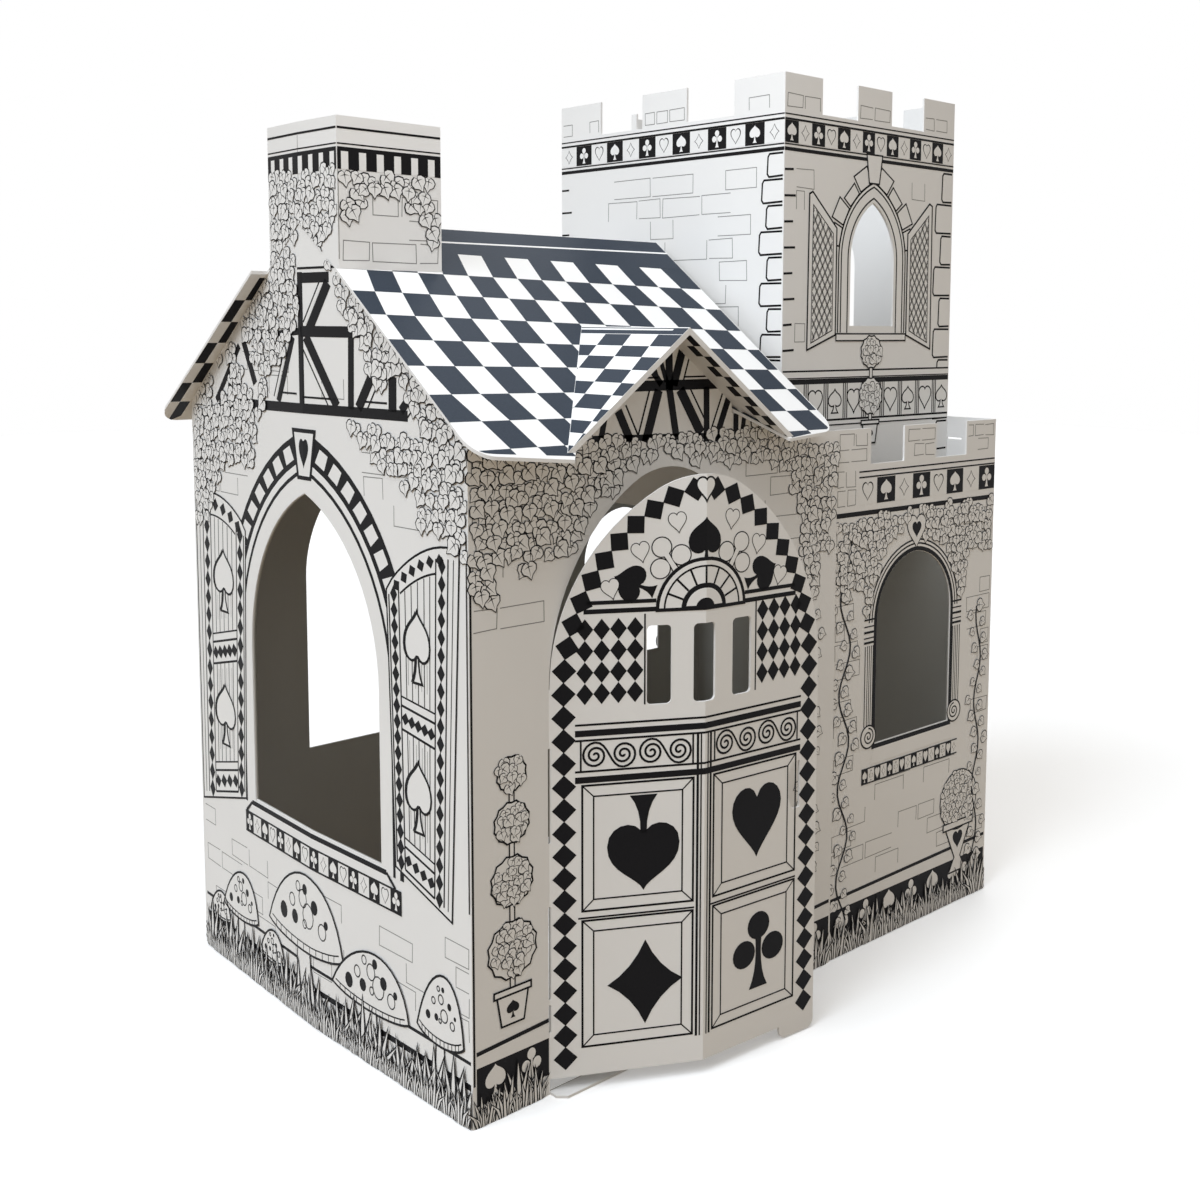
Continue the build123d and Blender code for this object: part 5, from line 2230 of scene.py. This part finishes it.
@dataclass(frozen=True)
class Sun:
    """A distant soft light: where it stands, how wide it looks in degrees, its strength and its colour."""

    name: str
    toward: tuple[float, float, float]
    angle: float
    power: float
    colour: Colour

    def hang(self) -> None:
        """Add the light."""
        data = bpy.data.lights.new(self.name, "SUN")
        data.energy, data.angle, data.color = self.power, radians(self.angle), self.colour
        made = bpy.data.objects.new(self.name, data)
        made.matrix_world = Vector(self.toward).to_track_quat("Z", "Y").to_matrix().to_4x4()
        show(made)


@dataclass(frozen=True)
class Studio:
    """White floor, white surround and soft light from the left, over the roof and a little behind."""

    reach: float = 12.0
    bounce: Colour = (0.30, 0.215, 0.12)
    floor_white: float = 0.97
    floor_glow: float = 0.20
    fill: Colour = (1.0, 0.97, 0.92)
    fill_strength: float = 0.46
    suns: tuple[Sun, ...] = (Sun("top", (-0.3, -0.3, 0.9), 30.0, 0.28, (1, 1, 1)),
                             Sun("far", (0.78, 0.5, 0.42), 40.0, 0.65, (0.95, 0.97, 1.0)),
                             Sun("key", (-0.75, 0.05, 0.66), 40.0, 1.65, (0.81, 0.90, 1.0)))
    lamp_place: tuple[float, float, float] = (-0.10, -0.30, 2.30)
    lamp_size: float = 0.9
    lamp_power: float = 11.5
    lamp_colour: Colour = (0.93, 0.96, 1.0)

    def lay_floor(self) -> None:
        """Lay the floor: white where it is seen, brown in the light that it sends up to the castle."""
        mesh = bpy.data.meshes.new("floor")
        mesh.from_pydata([(*p, 0) for p in rectangle(-self.reach, -self.reach, self.reach, self.reach)], [],
                         [(0, 1, 2, 3)])
        paint = Paint("floor_paint")
        seen = paint.backdrop_rays()
        shade = seen * 0.97 + paint.noise(3.0) * 0.03
        paint.feed("Base Color", paint.blend(shade, self.bounce, (self.floor_white,) * 3))
        paint.feed("Emission Color", paint.blend(seen, (0, 0, 0), (self.floor_glow,) * 3))
        paint.feed("Emission Strength", 1.0)
        paint.feed("Roughness", 0.8)
        mesh.materials.append(paint.material)
        floor = bpy.data.objects.new("floor", mesh)
        show(floor)

    def surround(self) -> None:
        """Make the world: plain white where it is seen, a dim warm fill on the castle."""
        world = bpy.data.worlds.new("surround")
        world.use_nodes = True
        bench = Bench(world.node_tree)
        fill = bench.node("ShaderNodeBackground", {}, {0: (*self.fill, 1), 1: self.fill_strength})
        white = bench.node("ShaderNodeBackground", {}, {0: (1, 1, 1, 1), 1: 1.0})
        mixed = bench.node("ShaderNodeMixShader", {}, {0: bench.backdrop_rays(), 1: fill, 2: white})
        bench.node("ShaderNodeOutputWorld", {}, {0: mixed})
        bpy.context.scene.world = world

    def build(self, origin: Vector) -> None:
        """Set up the floor, the world and the lights.

        Args:
            origin: The castle's floor corner, in metres.
        """
        self.lay_floor()
        self.surround()
        for one in self.suns:
            one.hang()
        data = bpy.data.lights.new("ceiling", "AREA")
        data.shape, data.size = "SQUARE", self.lamp_size
        data.energy, data.color = self.lamp_power, self.lamp_colour
        lamp = bpy.data.objects.new("ceiling", data)
        lamp.location = origin + Vector(self.lamp_place)
        show(lamp)
        bpy.context.scene.view_settings.view_transform = "Standard"


def dress_card(nodes: dict[str, bpy.types.Object], origin: Vector) -> None:
    """Give each folded sheet its board, with grey painted shade inside where it closes a room.

    Args:
        nodes: The sheets by name.
        origin: The castle's floor corner, in metres.
    """
    # Painted shade: the board is white inside; these greys stand for the dim rooms of the house and the bay,
    # up to where light reaches in.
    house = PaintedRoomShade((0.46, 0.45, 0.42), 2.0, 798.0, 1100.0)
    bay = PaintedRoomShade((0.33, 0.325, 0.30), 6.3, 793.7, 780.0, 1188.0)
    painted_shades = {"front_gable_walls": house, "back_house_wall": house, "bay_walls": bay}
    for name, node in nodes.items():
        board = PRESS.materials[Tone.PAPER]
        if name in painted_shades:
            board = BoardFinish(name + "_board", BOARD.light, BOARD.dark).make(origin, painted_shades[name])
        node.data.materials.clear()
        node.data.materials.append(board)
        log.info("%s: %s", name, board.name)


def main() -> None:
    """Dress the castle, stand the camera, light it and note its size."""
    logging.basicConfig(level=logging.INFO)
    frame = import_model()
    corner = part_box("bay_walls")[1]
    origin = Vector((corner[0] - BAY_RIGHT * MM, corner[1] - WALL_FAR * MM, 0))
    PRESS.load()
    dress_card(frame["nodes"], origin)
    parts = (Gable(), ChimneySides(), HouseFront(), Door(),
             BayWall("bay_front", 4.3, -1, 61), BayWall("bay_back", WALL_FAR, 1, 71), BayEnd(), HouseBack(),
             TowerSide("tower_left", 714, -1, 101, False), TowerSide("tower_right", 1185.7, 1, 111, True),
             TowerFront("tower_front", 112, -1, 121, True), TowerFront("tower_back", 700, 1, 131, False),
             MainRoof(), DormerRoof())
    for part in parts:
        for printed in part.prints():
            printed.press(origin)
    Viewpoint().stand(origin)
    Studio().build(origin)


if __name__ == "__main__":
    main()
